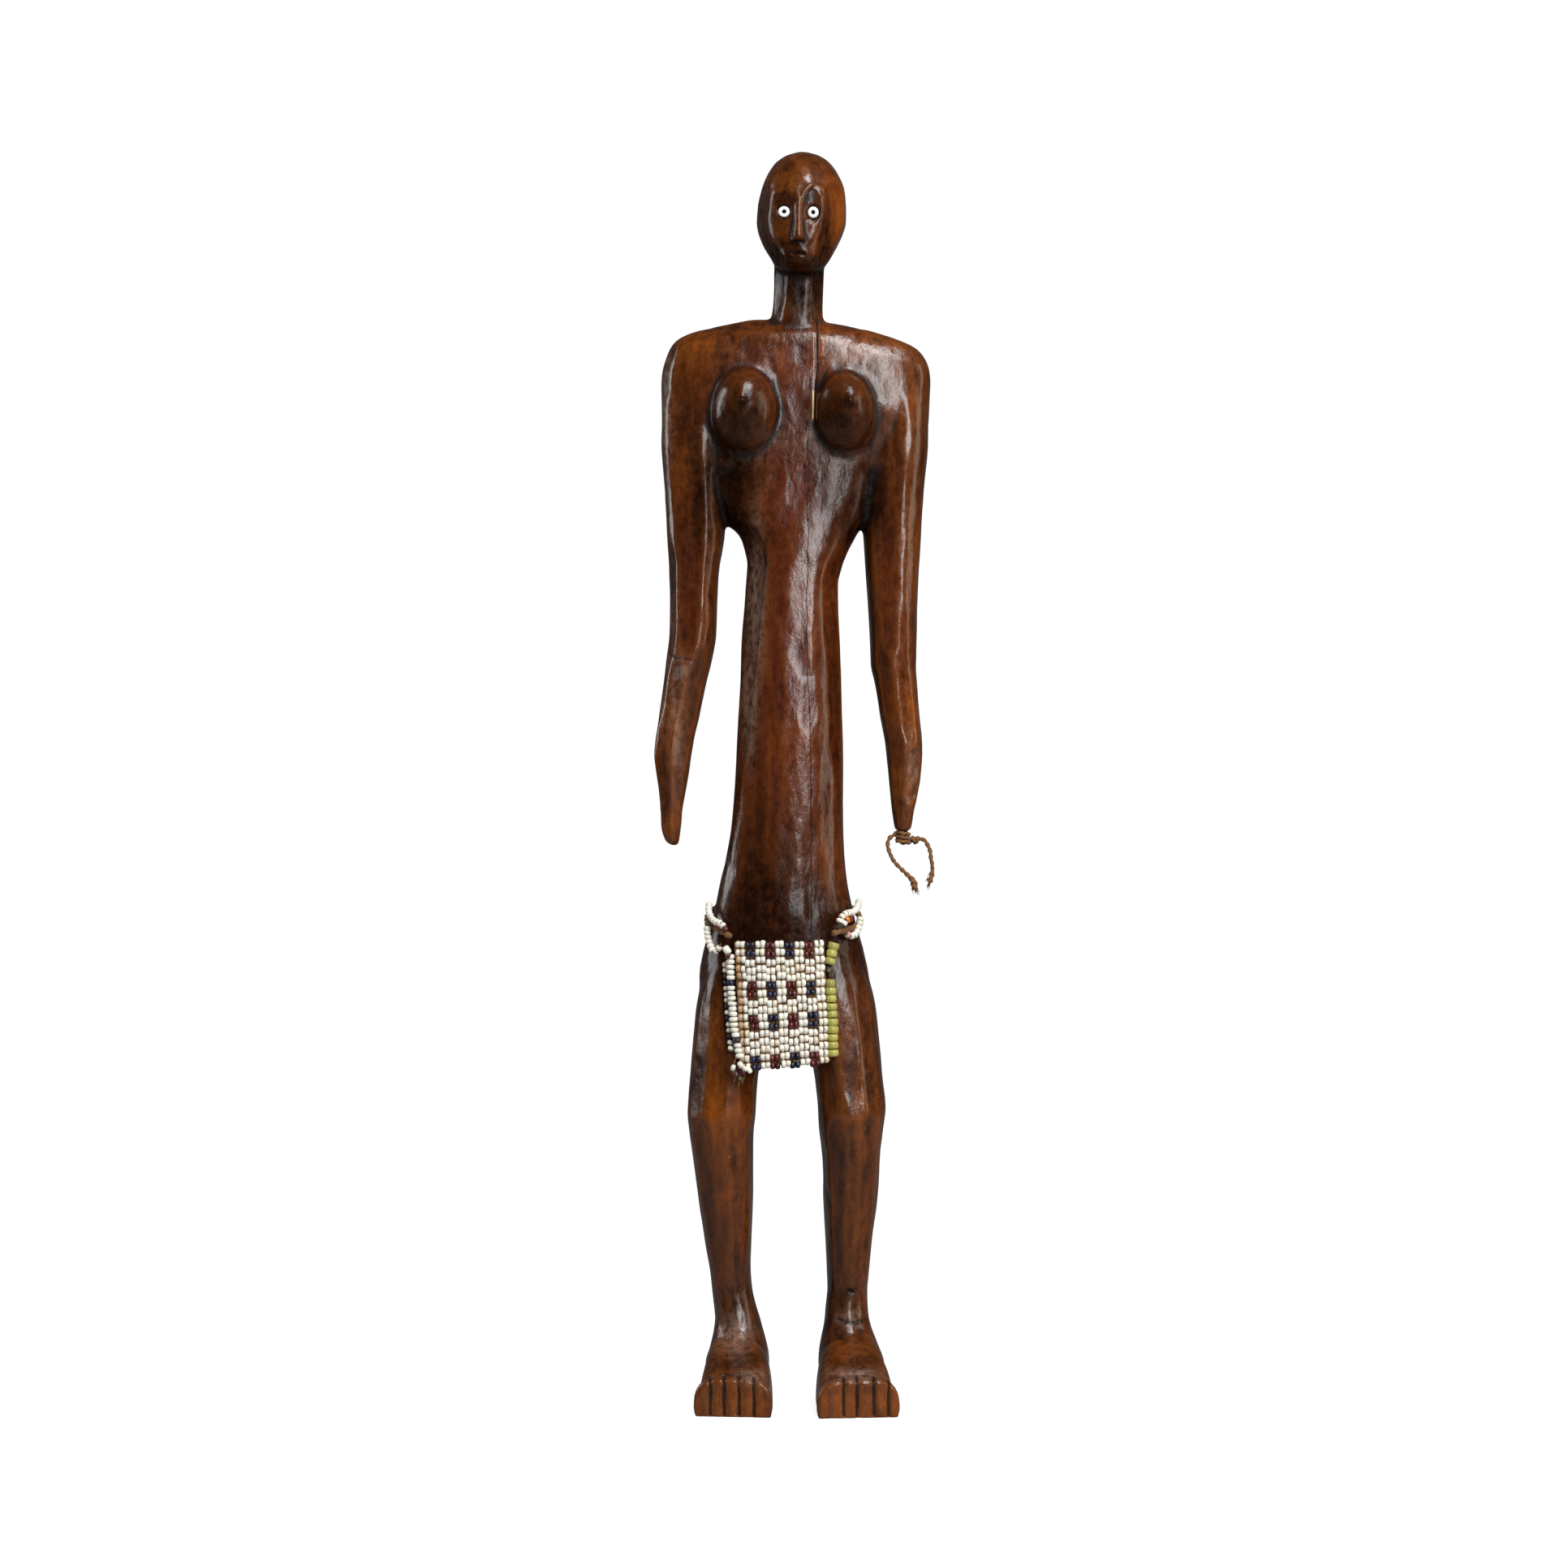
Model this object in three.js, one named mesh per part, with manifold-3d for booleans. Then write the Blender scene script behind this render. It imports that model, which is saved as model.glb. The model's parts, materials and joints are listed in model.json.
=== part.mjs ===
// Standing female figure carved from one piece of wood, with bead eyes, a beaded apron on a fibre
// cord round the hips, and a fibre cord tied round one wrist.
// Millimetres, +Z up, soles on z = 0, the figure faces -Y. Left and right are the viewer's.
import * as THREE from "three";
import { mergeVertices } from "three/addons/utils/BufferGeometryUtils.js";
import Module from "manifold-3d";

const wasm = await Module();
wasm.setup();

const GAP = 0.3;
const BEAD_RADIUS = 1.53;
const BEAD_LENGTH = 2.1;
const WAIST_SHARE = 0.6;
const EDGE_SIDES = 5;
const WAIST_STRAND_SIDES = 4;

// Figure: every row of a table is one level cut, from the lower one to the upper one.
// Columns: height, centre x, half width, front y, back y, squareness (2 is an ellipse).
const TORSO = [
  [172, -3.2, 32, -6, 25, 2.3],
  [185, -3.6, 37.4, -11.5, 31, 2.3],
  [199, -3.9, 34.9, -13, 31.5, 2.3],
  [211, -3.9, 31.6, -13, 30, 2.2],
  [224, -3.9, 28.6, -12.5, 27.5, 2.2],
  [238, -3.3, 26.2, -12, 25, 2.2],
  [259, -2.3, 24.4, -12, 23, 2.2],
  [287, -1.4, 23.5, -12, 22, 2.2],
  [330, -0.7, 21.8, -11.5, 21, 2.2],
  [358, 0, 20.4, -11, 21, 2.2],
  [366, 1.2, 21.2, -10.5, 21, 2.2],
  [379, 2.2, 25.6, -10, 22, 2.2],
  [387, 1, 32, -9.5, 22, 2.3],
  [404, 1, 39, -9, 23, 2.4],
  [425, 1, 45, -9, 24, 2.5],
  [445, 1.2, 49, -8.5, 24, 2.5],
  [458, 1.1, 46, -7, 22, 2.5],
  [467, -1, 34, -4, 18, 2.4],
  [471, 0, 20, 0, 15, 2.2],
];
const SHOULDERS = [
  [383.5, 0.9, 52, 4, 13, 2.4],
  [390, 0.9, 55, 1.5, 16, 2.5],
  [404, 0.7, 56.8, -3, 20, 2.6],
  [422, 1.1, 58, -7, 22.5, 2.8],
  [436, 1.4, 58.6, -9, 23.5, 3],
  [446, 1.5, 58.8, -9, 23.5, 3],
  [452, 1.5, 58.1, -8.5, 23, 3],
  [457.5, 1.1, 56, -7, 22, 2.9],
  [461, 0.2, 53.6, -5.5, 20.5, 2.8],
  [464.5, -1.9, 48.6, -3.5, 19, 2.7],
  [468, -3.6, 39.6, -1, 16.5, 2.5],
  [471, -3.6, 27, 2, 14, 2.3],
  [473.6, -5, 13, 4, 12, 2.2],
];
const ARM_LEFT = [
  [244.4, -51.6, 1.4, 5.5, 8.5, 2],
  [246, -52.3, 2.9, 3.5, 10.5, 2],
  [252, -52.9, 4.3, 1.5, 12.5, 2],
  [259, -52.9, 5, 0.5, 14, 2.1],
  [270, -52.4, 6.4, -1, 15.5, 2.2],
  [280.5, -52.4, 8, -2, 16.5, 2.3],
  [287, -51.8, 8.5, -2.5, 17, 2.3],
  [301, -49.3, 8.9, -3, 18, 2.3],
  [316, -46.7, 9.4, -3.5, 18.5, 2.3],
  [323, -45.4, 9.9, -4, 19, 2.3],
  [337, -43.5, 10.4, -4.5, 19.5, 2.3],
  [351, -43.1, 10.5, -5, 20, 2.3],
  [365, -42.8, 11.1, -5, 20.5, 2.4],
  [379, -42.1, 12.6, -5, 21, 2.4],
  [398, -42.6, 13.2, -5.5, 21.5, 2.4],
  [420, -43.6, 13.6, -7, 22, 2.5],
  [438, -43.5, 13.2, -6.5, 21, 2.5],
  [452, -41, 8, -2, 17, 2.4],
];
const ARM_RIGHT = [
  [244.4, 48.1, 1.6, 4.5, 7.7, 2],
  [250.6, 48.1, 1.6, 4.5, 7.7, 2],
  [251.3, 48.1, 3.4, 2.2, 10, 2],
  [259, 48.1, 4.8, 0.5, 12.5, 2.1],
  [266, 48.6, 6, -0.5, 14, 2.2],
  [276, 48.9, 7.2, -1.5, 15.5, 2.3],
  [287, 48.6, 8.1, -2.5, 17, 2.3],
  [301, 46.7, 8.7, -3, 18, 2.3],
  [316, 44.9, 9.4, -3.5, 18.5, 2.3],
  [323, 44, 9.9, -4, 19, 2.3],
  [337, 43.9, 10.4, -4.5, 19.5, 2.3],
  [351, 43.7, 11, -5, 20, 2.3],
  [365, 43.5, 11.8, -5, 20.5, 2.4],
  [379, 43.5, 12.6, -5, 21, 2.4],
  [398, 44, 13.3, -5.5, 21.5, 2.4],
  [420, 45.4, 13.8, -7, 22, 2.5],
  [438, 45.6, 13.4, -6.5, 21, 2.5],
  [452, 42.5, 8, -2, 17, 2.4],
];
const LEG_LEFT = [
  [14, -24, 13.4, -10, 26, 2.3],
  [19, -24, 13.9, -10, 27.5, 2.3],
  [26, -23.4, 12.6, -8, 28, 2.2],
  [36, -23.8, 10.2, -1, 26, 2.2],
  [43, -25.1, 9.4, 1, 24.5, 2.2],
  [50, -26.4, 9, 1.8, 24, 2.2],
  [57, -27.2, 9.1, 1.2, 24.5, 2.2],
  [71, -28.3, 10.4, -1.5, 25.5, 2.2],
  [92, -29.5, 12.4, -6, 26, 2.2],
  [107, -30.4, 13.3, -10, 24.5, 2.2],
  [121, -31.1, 14.3, -13, 22.5, 2.2],
  [128, -30.9, 14.9, -14, 22.5, 2.2],
  [142, -29.9, 14.9, -13.5, 24, 2.2],
  [160, -27.6, 15.8, -13, 27.5, 2.3],
  [176, -25.5, 16.3, -12.3, 29.5, 2.3],
  [198, -22, 14.5, -10, 28, 2.3],
];
const LEG_RIGHT = [
  [14, 25.6, 13.8, -12, 24, 2.3],
  [19, 25.6, 14.4, -12, 26, 2.3],
  [26, 24.7, 13, -9, 27, 2.2],
  [36, 23.9, 10.2, -1, 26, 2.2],
  [43, 23.7, 9.4, 1, 24.5, 2.2],
  [50, 24, 9, 1.8, 24, 2.2],
  [57, 24.4, 9.4, 1.2, 24.5, 2.2],
  [71, 24.8, 10.4, -1.5, 25.5, 2.2],
  [92, 25.5, 12.2, -6, 26, 2.2],
  [107, 25.8, 12.9, -10, 24.5, 2.2],
  [121, 25.7, 14.2, -13, 22.5, 2.2],
  [129, 25.8, 14.8, -14, 22.5, 2.2],
  [142, 24.6, 14.9, -13.5, 24, 2.2],
  [160, 22.2, 15.6, -13, 27.5, 2.3],
  [176, 19.8, 16.2, -12.3, 29.5, 2.3],
  [198, 15.5, 14, -10, 28, 2.3],
];
const NECK = [
  [456, 2, 12, 0, 17, 2.4],
  [466, 2, 11.8, -2, 20, 2.4],
  [475, 2, 11.3, -2, 20.5, 2.4],
  [483, 2.5, 10.8, -1.5, 20, 2.4],
  [500, 3, 11, -1.5, 20.5, 2.4],
];
const HEAD = [
  [492.6, 3.2, 5.5, -9.5, 9, 2],
  [493.8, 3.2, 8.6, -12.2, 15, 2.1],
  [496, 3.2, 10.9, -14, 17.5, 2.1],
  [499.3, 3.5, 12.9, -15.3, 19.5, 2.2],
  [503, 3.5, 15.1, -16, 21.5, 2.2],
  [506.5, 3.6, 17, -16.4, 23.5, 2.2],
  [510, 3.7, 18.4, -16.6, 25, 2.2],
  [516, 4.1, 19.7, -16.6, 27, 2.2],
  [524, 4.4, 19.4, -16, 28, 2.2],
  [531, 4.6, 17.8, -14, 27, 2.2],
  [537.5, 4.5, 14.9, -10.5, 24, 2.1],
  [542, 4.4, 11.5, -6.5, 20.5, 2.1],
  [544.8, 4.4, 7.3, -2, 15.5, 2],
  [546.3, 4.3, 2.4, 3.5, 9.5, 2],
];
const NOSE = [
  [504.4, 2.3, 2.2, -20.2, -10, 2.4],
  [506, 2.3, 2.3, -20.6, -10, 2.4],
  [514, 2.3, 1.9, -19, -10, 2.4],
  [521, 2.4, 1.7, -17.4, -10, 2.4],
  [527, 2.5, 1.8, -15.4, -10, 2.4],
];

// The forms of the body, with the number of sides of a cut and the longest step between two cuts.
const LIMBS = [
  { rows: TORSO, sides: 20, step: 22 },
  { rows: SHOULDERS, sides: 20, step: 14 },
  { rows: NECK, sides: 10, step: 30 },
  { rows: HEAD, sides: 18, step: 8 },
  { rows: NOSE, sides: 8, step: 10 },
  { rows: ARM_LEFT, sides: 10, step: 24 },
  { rows: ARM_RIGHT, sides: 10, step: 24 },
  { rows: LEG_LEFT, sides: 11, step: 24 },
  { rows: LEG_RIGHT, sides: 11, step: 24 },
];
const BALL_SIDES = 10;
const BALL_RINGS = 6;

// Breasts: upright cuts from the chest to the nipple. Columns of the profile: y, and the size of
// the cut as a share of the base.
const BREASTS = [
  { x: -20.5, z: 433, nippleX: -21.8, halfWidth: 14, halfHeight: 18.1 },
  { x: 22.4, z: 432.4, nippleX: 24.5, halfWidth: 12.9, halfHeight: 17.1 },
];
const NIPPLE_HEIGHT = 436.2;
const NIPPLE_RADIUS = 1.8;
const BREAST_PROFILE = [
  [2, 1],
  [-8.5, 1],
  [-12.5, 0.95],
  [-16.5, 0.79],
  [-19.5, 0.55],
  [-21.2, 0.3],
];
const NIPPLE_PROFILE = [
  [-21.6, 1],
  [-23.6, 0.95],
  [-24.2, 0.5],
];
const BREAST_SIDES = 12;

// Feet: upright cuts from the heel to the toes.
// Columns: y, centre x, half width, height, squareness of the upper side.
const FOOT_LEFT = [
  [31.5, -24.3, 7.5, 14, 2.8],
  [29.5, -24.3, 9.6, 21, 2.6],
  [24, -24.2, 11.4, 29, 2.5],
  [14, -24, 13.6, 35, 2.6],
  [4, -24, 14.8, 34, 2.7],
  [-4, -24, 15.3, 30.5, 3],
  [-13, -24.3, 15.8, 25, 3.2],
  [-20, -24.6, 16.1, 20, 3.3],
  [-23, -24.8, 16.3, 18.4, 3.4],
  [-24, -25, 16.5, 17.2, 3.6],
  [-31, -25.6, 17, 16.4, 3.8],
  [-32, -25.5, 16.2, 15.2, 3.8],
];
const FOOT_RIGHT = [
  [29, 25, 7.5, 14, 2.8],
  [27, 25, 9.6, 21, 2.6],
  [21.5, 24.9, 11.4, 29, 2.5],
  [12, 25, 13.9, 35, 2.6],
  [2, 25.4, 15.2, 34, 2.7],
  [-6, 25.8, 15.8, 30.5, 3],
  [-15, 26.6, 16.4, 25, 3.2],
  [-22, 27.1, 16.8, 20, 3.3],
  [-25.5, 27.6, 17.1, 18.4, 3.4],
  [-26.5, 27.8, 17.4, 17.2, 3.6],
  [-34, 28.1, 17.9, 16.4, 3.8],
  [-35, 28.2, 17, 15.2, 3.8],
];
const FEET = [
  { rows: FOOT_LEFT, front: -32, inner: -8.6, outer: -42.6, grooves: [-35.3, -29.4, -23.1, -16.7] },
  { rows: FOOT_RIGHT, front: -35, inner: 10.2, outer: 46, grooves: [21.8, 27.5, 34.8, 41.1] },
];
const SOLE_SHARE = 0.96;
const TOE_TOP = 16.3;
const GROOVE_LENGTH = 7;
const LITTLE_TOE_SETBACK = 5;
const GROOVE_WIDTH = 1.1;
const GROOVE_DEPTH = 1.3;
const GROOVE_FOOT = 1;
const FOOT_STEP = 12;
const FOOT_ARC = 9;
// How far a cutting solid starts outside the wood.
const OVERRUN = 3;

// Face
const EYES = [
  { name: "eye_bead_left", x: -3.7, z: 518 },
  { name: "eye_bead_right", x: 8.9, z: 517.7 },
];
const EYE_BEAD = { radius: 2.45, hole: 0.6, front: -14.4, back: -12.3 };
const EYE_SOCKET = { y: -17.6, rise: 1.2, radii: [5.4, 4.6, 5.8] };
const SEAT_LENGTH = 12;
const MUZZLE = { centre: [3.1, -12.6, 499.5], radii: [6.2, 4.6, 5.4] };
const MOUTH = { x: 3.1, z: 498.9, width: 4.6, height: 0.9, depth: 1.2, front: -17 };
const ROUND_SIDES = 12;

// Apron: rows of bead pairs strung sideways and woven to the rows above and below.
const APRON_ROWS = 16;
const APRON_PAIRS = 9;
const PAIR_LENGTH = 4.19;
const APRON_TOP = 201.9;
const APRON_LEFT = -24.6;
const ROW_PITCH_LEFT = 3.54;
const ROW_PITCH_RIGHT = 3.33;
const APRON_LEAN = 2.6;
const APRON_BACK = -17;
const APRON_CURVE = { top: 0.01, bottom: 0.003 };
const APRON_MIDDLE = -5;
// Half thickness of the beadwork at a pair's middle, between pairs, and the same between rows.
const BEADWORK = { middle: 1.5, between: 1.15, valleyMiddle: 0.55, valleyBetween: 0.4 };
const WHITE_EDGE = { radius: 1.9, length: 2.08, top: [-27, 196.8], bottom: [-24.3, 153.6] };
const GREEN_EDGE = { radius: 2.3, length: 3.5, top: [17.6, 202.8], bottom: [18.4, 153.8] };

// Waist cord: from the apron's one upper corner round the back of the hips to the other.
const CORD_RADIUS = 1.4;
const CORD_STANDOFF = 2.1;
const CORD_STEPS = 26;
const CORD_SIDES = 8;
const HIP_POINTS = 22;
const CORD_FRONT_HEIGHT = 206.5;
const CORD_RISE = 17;
const CORD_ENDS = [
  [-27, -13.2, 205.4],
  [17.2, -13.2, 206.6],
];
const CORD_LEAVES_BODY = { left: 3.7, right: 5.5 };

// Bead strands on the waist cord. Columns: distance along the cord from the apron's corner, turn
// round the cord in degrees (90 above it, 0 on its outer side, -90 below it), distance from it.
const WAIST_BEADS_LEFT = [
  [34, 84, 3.6],
  [29, 84, 3.6],
  [24, 72, 3.6],
  [20.5, 38, 3.7],
  [19, 0, 3.8],
  [17.5, -40, 3.9],
  [16, -62, 5.4],
  [13, -68, 8.4],
  [9.5, -68, 8.6],
  [6.5, -62, 6],
  [5, -30, 4.2],
  [4.6, 10, 3.9],
  [5.4, 48, 3.9],
  [8, 76, 4.2],
];
const WAIST_BEADS_RIGHT = [
  [37, 84, 3.6],
  [32, 84, 3.6],
  [26, 72, 3.6],
  [22.5, 38, 3.7],
  [21, 0, 3.8],
  [19.5, -36, 3.9],
  [17, -60, 5],
  [14, -66, 5.8],
  [11.5, -56, 5],
  [10.5, -24, 4],
  [10.5, 14, 3.9],
  [12, 50, 3.9],
  [15, 78, 4.4],
];

// Wrist cord
const WRIST = { x: 48.1, y: 6.1 };
const WRAP_SIDES = 10;
const WRIST_WRAP = [
  [2, 245.1],
  [3, 244.9],
  [3.4, 245.9],
  [2.9, 246.8],
  [3.4, 247.8],
  [2.9, 248.8],
  [3.3, 249.7],
  [2.9, 250.6],
  [2, 250.5],
  [2, 245.1],
];
const KNOT = { centre: [53.7, 6.1, 247.1], radii: [2.9, 2.4, 2.2] };
const TAIL_RADIUS = 0.75;
const TAIL_STEPS = 10;
const TAILS = {
  wrist_cord_left_tail: [
    [44.3, 5.6, 248.2],
    [42.4, 5, 247.6],
    [41.4, 4.6, 244.9],
    [42.3, 4.4, 241.2],
    [44.2, 4.4, 237.5],
    [46.9, 4.5, 234.5],
    [49.7, 4.7, 231.9],
    [52.5, 5, 228.8],
    [53.4, 5.2, 225],
  ],
  wrist_cord_right_tail: [
    [57.1, 6, 246.8],
    [58.7, 5.8, 244.8],
    [59.9, 5.5, 242.1],
    [60.3, 5.3, 238.9],
    [60.9, 5.2, 235.4],
    [60.7, 5.2, 231.5],
    [59.6, 5.3, 228.3],
  ],
};

const wood = { color: 0x5a2a14, roughness: 0.35, metalness: 0 };
const ivoryBead = { color: 0xe6dfd2, roughness: 0.25, metalness: 0 };
const greenBead = { color: 0xa8a24e, roughness: 0.25, metalness: 0 };
const fibre = { color: 0x6b4322, roughness: 0.9, metalness: 0 };

// A smooth curve through every column of a table; it never goes past the rows it runs between.
function smoothTable(rows) {
  const slopes = rows.map((row, i) =>
    row.map((value, c) => {
      const before = i > 0 ? (value - rows[i - 1][c]) / (row[0] - rows[i - 1][0]) : null;
      const after =
        i + 1 < rows.length ? (rows[i + 1][c] - value) / (rows[i + 1][0] - row[0]) : null;
      if (before === null || after === null) return before ?? after;
      if (before * after <= 0) return 0;
      return (2 * before * after) / (before + after);
    }),
  );
  const rising = rows[1][0] > rows[0][0];
  return (t) => {
    const passed = rows.filter(([at]) => (rising ? at <= t : at >= t)).length;
    const i = THREE.MathUtils.clamp(passed - 1, 0, rows.length - 2);
    const [low, high] = [rows[i], rows[i + 1]];
    const span = high[0] - low[0];
    const u = (t - low[0]) / span;
    return low.map((value, c) => {
      const bend = (high[c] - value) * u * u * (3 - 2 * u);
      const start = slopes[i][c] * span * u * (1 - u) * (1 - u);
      const end = slopes[i + 1][c] * span * u * u * (1 - u);
      return value + bend + start - end;
    });
  };
}

// The table's own rows with evenly set rows between them, so that no step is over `step`.
function levels(rows, step) {
  const at = smoothTable(rows);
  const cuts = [rows[0]];
  for (let i = 1; i < rows.length; i++) {
    const [from, to] = [rows[i - 1][0], rows[i][0]];
    const count = Math.max(1, Math.round(Math.abs(to - from) / step));
    for (let k = 1; k < count; k++) {
      cuts.push(at(from + ((to - from) * k) / count));
    }
    cuts.push(rows[i]);
  }
  return cuts;
}

function rounded(value, power) {
  return Math.sign(value) * Math.abs(value) ** (2 / power);
}

// A closed skin over rings with equal numbers of points, with a flat or pointed cap at both ends.
function loft(rings) {
  const sides = rings[0].length;
  const points = rings.flat();
  const faces = [];
  for (let i = 0; i + 1 < rings.length; i++) {
    for (let k = 0; k < sides; k++) {
      const a = i * sides + k;
      const b = i * sides + ((k + 1) % sides);
      faces.push(a, b, b + sides, a, b + sides, a + sides);
    }
  }
  for (const [ring, turn] of [
    [0, 1],
    [rings.length - 1, 0],
  ]) {
    const middle = points.length;
    const sum = rings[ring].reduce((total, p) => total.add(p), new THREE.Vector3());
    points.push(sum.divideScalar(sides));
    for (let k = 0; k < sides; k++) {
      const edge = [ring * sides + k, ring * sides + ((k + 1) % sides)];
      if (turn) edge.reverse();
      faces.push(middle, ...edge);
    }
  }
  return facingOut(points, faces);
}

// Turns every triangle round when together they face inward.
function facingOut(points, faces) {
  let volume = 0;
  for (let i = 0; i < faces.length; i += 3) {
    const [a, b, c] = [points[faces[i]], points[faces[i + 1]], points[faces[i + 2]]];
    volume += a.dot(b.clone().cross(c));
  }
  const geometry = new THREE.BufferGeometry();
  geometry.setAttribute("position", new THREE.Float32BufferAttribute(points.flatMap((p) => [...p]), 3));
  geometry.setIndex(volume < 0 ? faces.reverse() : faces);
  return geometry;
}

function levelRing([z, x, halfWidth, front, back, power], sides) {
  return Array.from({ length: sides }, (_, k) => {
    const angle = (2 * Math.PI * (k + 0.5)) / sides;
    const across = rounded(Math.cos(angle), power);
    const deep = rounded(Math.sin(angle), power);
    return new THREE.Vector3(
      x + halfWidth * across,
      (front + back) / 2 + ((back - front) / 2) * deep,
      z,
    );
  });
}

function limb({ rows, sides, step }) {
  return solidOf(loft(levels(rows, step).map((row) => levelRing(row, sides))));
}

function solidOf(source) {
  const geometry = source.clone();
  geometry.deleteAttribute("normal");
  geometry.deleteAttribute("uv");
  const merged = mergeVertices(geometry, 1e-4);
  return new wasm.Manifold(
    new wasm.Mesh({
      numProp: 3,
      vertProperties: new Float32Array(merged.attributes.position.array),
      triVerts: new Uint32Array(merged.index.array),
    }),
  );
}

function geometryOf(solid) {
  const { vertProperties, triVerts } = solid.getMesh();
  const geometry = new THREE.BufferGeometry();
  geometry.setAttribute("position", new THREE.BufferAttribute(vertProperties, 3));
  geometry.setIndex(new THREE.BufferAttribute(triVerts, 1));
  return geometry;
}

function joined(solids) {
  return solids.reduce((whole, next) => whole.add(next));
}

function box(x0, x1, y0, y1, z0, z1) {
  const geometry = new THREE.BoxGeometry(x1 - x0, y1 - y0, z1 - z0);
  geometry.translate((x0 + x1) / 2, (y0 + y1) / 2, (z0 + z1) / 2);
  return solidOf(geometry);
}

function ellipsoid(centre, radii) {
  const geometry = new THREE.SphereGeometry(1, BALL_SIDES, BALL_RINGS);
  geometry.rotateX(Math.PI / 2);
  geometry.scale(...radii);
  geometry.translate(...centre);
  return solidOf(geometry);
}

// Feet: the row of toes runs back from the big toe, which is the inner one, to the little toe.
function setback(x, { inner, outer }) {
  const outward = Math.max(0, (x - inner) / (outer - inner));
  return LITTLE_TOE_SETBACK * outward ** 1.6;
}

function foot({ rows, front, ...edges }) {
  const rings = levels(rows, FOOT_STEP).map(([y, x, halfWidth, height, power]) => {
    const forward = Math.max(0, y / front);
    return Array.from({ length: FOOT_ARC }, (_, k) => {
      const angle = (Math.PI * k) / (FOOT_ARC - 1);
      const onFloor = k === 0 || k === FOOT_ARC - 1;
      const reach = halfWidth * (onFloor ? SOLE_SHARE : 1);
      const px = x + reach * rounded(Math.cos(angle), power);
      const pz = onFloor ? 0 : height * rounded(Math.sin(angle), power);
      return new THREE.Vector3(px, y + forward * setback(px, edges), pz);
    });
  });
  return solidOf(loft(rings));
}

function toeGroove(x, { front, ...edges }) {
  const face = front + setback(x, edges);
  const [left, right] = [x - GROOVE_WIDTH / 2, x + GROOVE_WIDTH / 2];
  const [start, top] = [face - OVERRUN, TOE_TOP + OVERRUN];
  const upright = box(left, right, start, face + GROOVE_DEPTH, GROOVE_FOOT, top);
  const over = box(left, right, start, face + GROOVE_LENGTH, TOE_TOP - GROOVE_DEPTH, top);
  return upright.add(over);
}

// Breasts
function breast({ x, z, nippleX, halfWidth, halfHeight }) {
  const ring = (y, centreX, centreZ, rx, rz) =>
    Array.from({ length: BREAST_SIDES }, (_, k) => {
      const angle = (2 * Math.PI * k) / BREAST_SIDES;
      return new THREE.Vector3(centreX + rx * Math.cos(angle), y, centreZ + rz * Math.sin(angle));
    });
  const dome = BREAST_PROFILE.map(([y, share]) => {
    const toNipple = 1 - share;
    const centreX = x + (nippleX - x) * toNipple;
    const centreZ = z + (NIPPLE_HEIGHT - z) * toNipple;
    return ring(y, centreX, centreZ, halfWidth * share, halfHeight * share);
  });
  const nipple = NIPPLE_PROFILE.map(([y, share]) => {
    const radius = NIPPLE_RADIUS * share;
    return ring(y, nippleX, NIPPLE_HEIGHT, radius, radius);
  });
  return solidOf(loft([...dome, ...nipple]));
}

// Eyes: a shallow socket cut under the brow, and a round seat for the bead.
function eyeSocket({ x, z }) {
  const hollow = ellipsoid([x, EYE_SOCKET.y, z + EYE_SOCKET.rise], EYE_SOCKET.radii);
  const seatBack = EYE_BEAD.back + GAP;
  const seatFront = seatBack - SEAT_LENGTH;
  return hollow.add(cylinderAlongY(x, z, EYE_BEAD.radius + GAP, seatFront, seatBack));
}

function cylinderAlongY(x, z, radius, front, back) {
  const geometry = new THREE.CylinderGeometry(radius, radius, back - front, ROUND_SIDES);
  geometry.translate(x, (front + back) / 2, z);
  return solidOf(geometry);
}

function carvedFigure() {
  const body = joined([
    ...LIMBS.map(limb),
    ...FEET.map(foot),
    ...BREASTS.map(breast),
    ellipsoid(MUZZLE.centre, MUZZLE.radii),
  ]);
  const mouth = box(
    MOUTH.x - MOUTH.width / 2,
    MOUTH.x + MOUTH.width / 2,
    MOUTH.front - OVERRUN,
    MOUTH.front + MOUTH.depth,
    MOUTH.z - MOUTH.height / 2,
    MOUTH.z + MOUTH.height / 2,
  );
  const cuts = joined([
    ...EYES.map(eyeSocket),
    ...FEET.flatMap((side) => side.grooves.map((x) => toeGroove(x, side))),
    mouth,
  ]);
  return geometryOf(body.subtract(cuts));
}

const part = new THREE.Group();

function addNode(name, geometry, look) {
  const mesh = new THREE.Mesh(geometry, new THREE.MeshStandardMaterial(look));
  mesh.name = name;
  part.add(mesh);
}

// Beads
function eyeBead({ x, z }) {
  const { radius, hole, front, back } = EYE_BEAD;
  const half = (back - front) / 2;
  const profile = [
    [hole, -half * 0.7],
    [(radius + hole) / 2, -half],
    [radius * 0.9, -half * 0.7],
    [radius, 0],
    [radius * 0.9, half * 0.7],
    [(radius + hole) / 2, half],
    [hole, half * 0.7],
    [hole, -half * 0.7],
  ];
  const ring = new THREE.LatheGeometry(
    profile.map(([r, h]) => new THREE.Vector2(r, h)),
    ROUND_SIDES,
  );
  ring.translate(x, (front + back) / 2, z);
  return geometryOf(solidOf(ring));
}

function curveThrough(points) {
  return new THREE.CatmullRomCurve3(points.map((p) => new THREE.Vector3(...p)));
}

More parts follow.
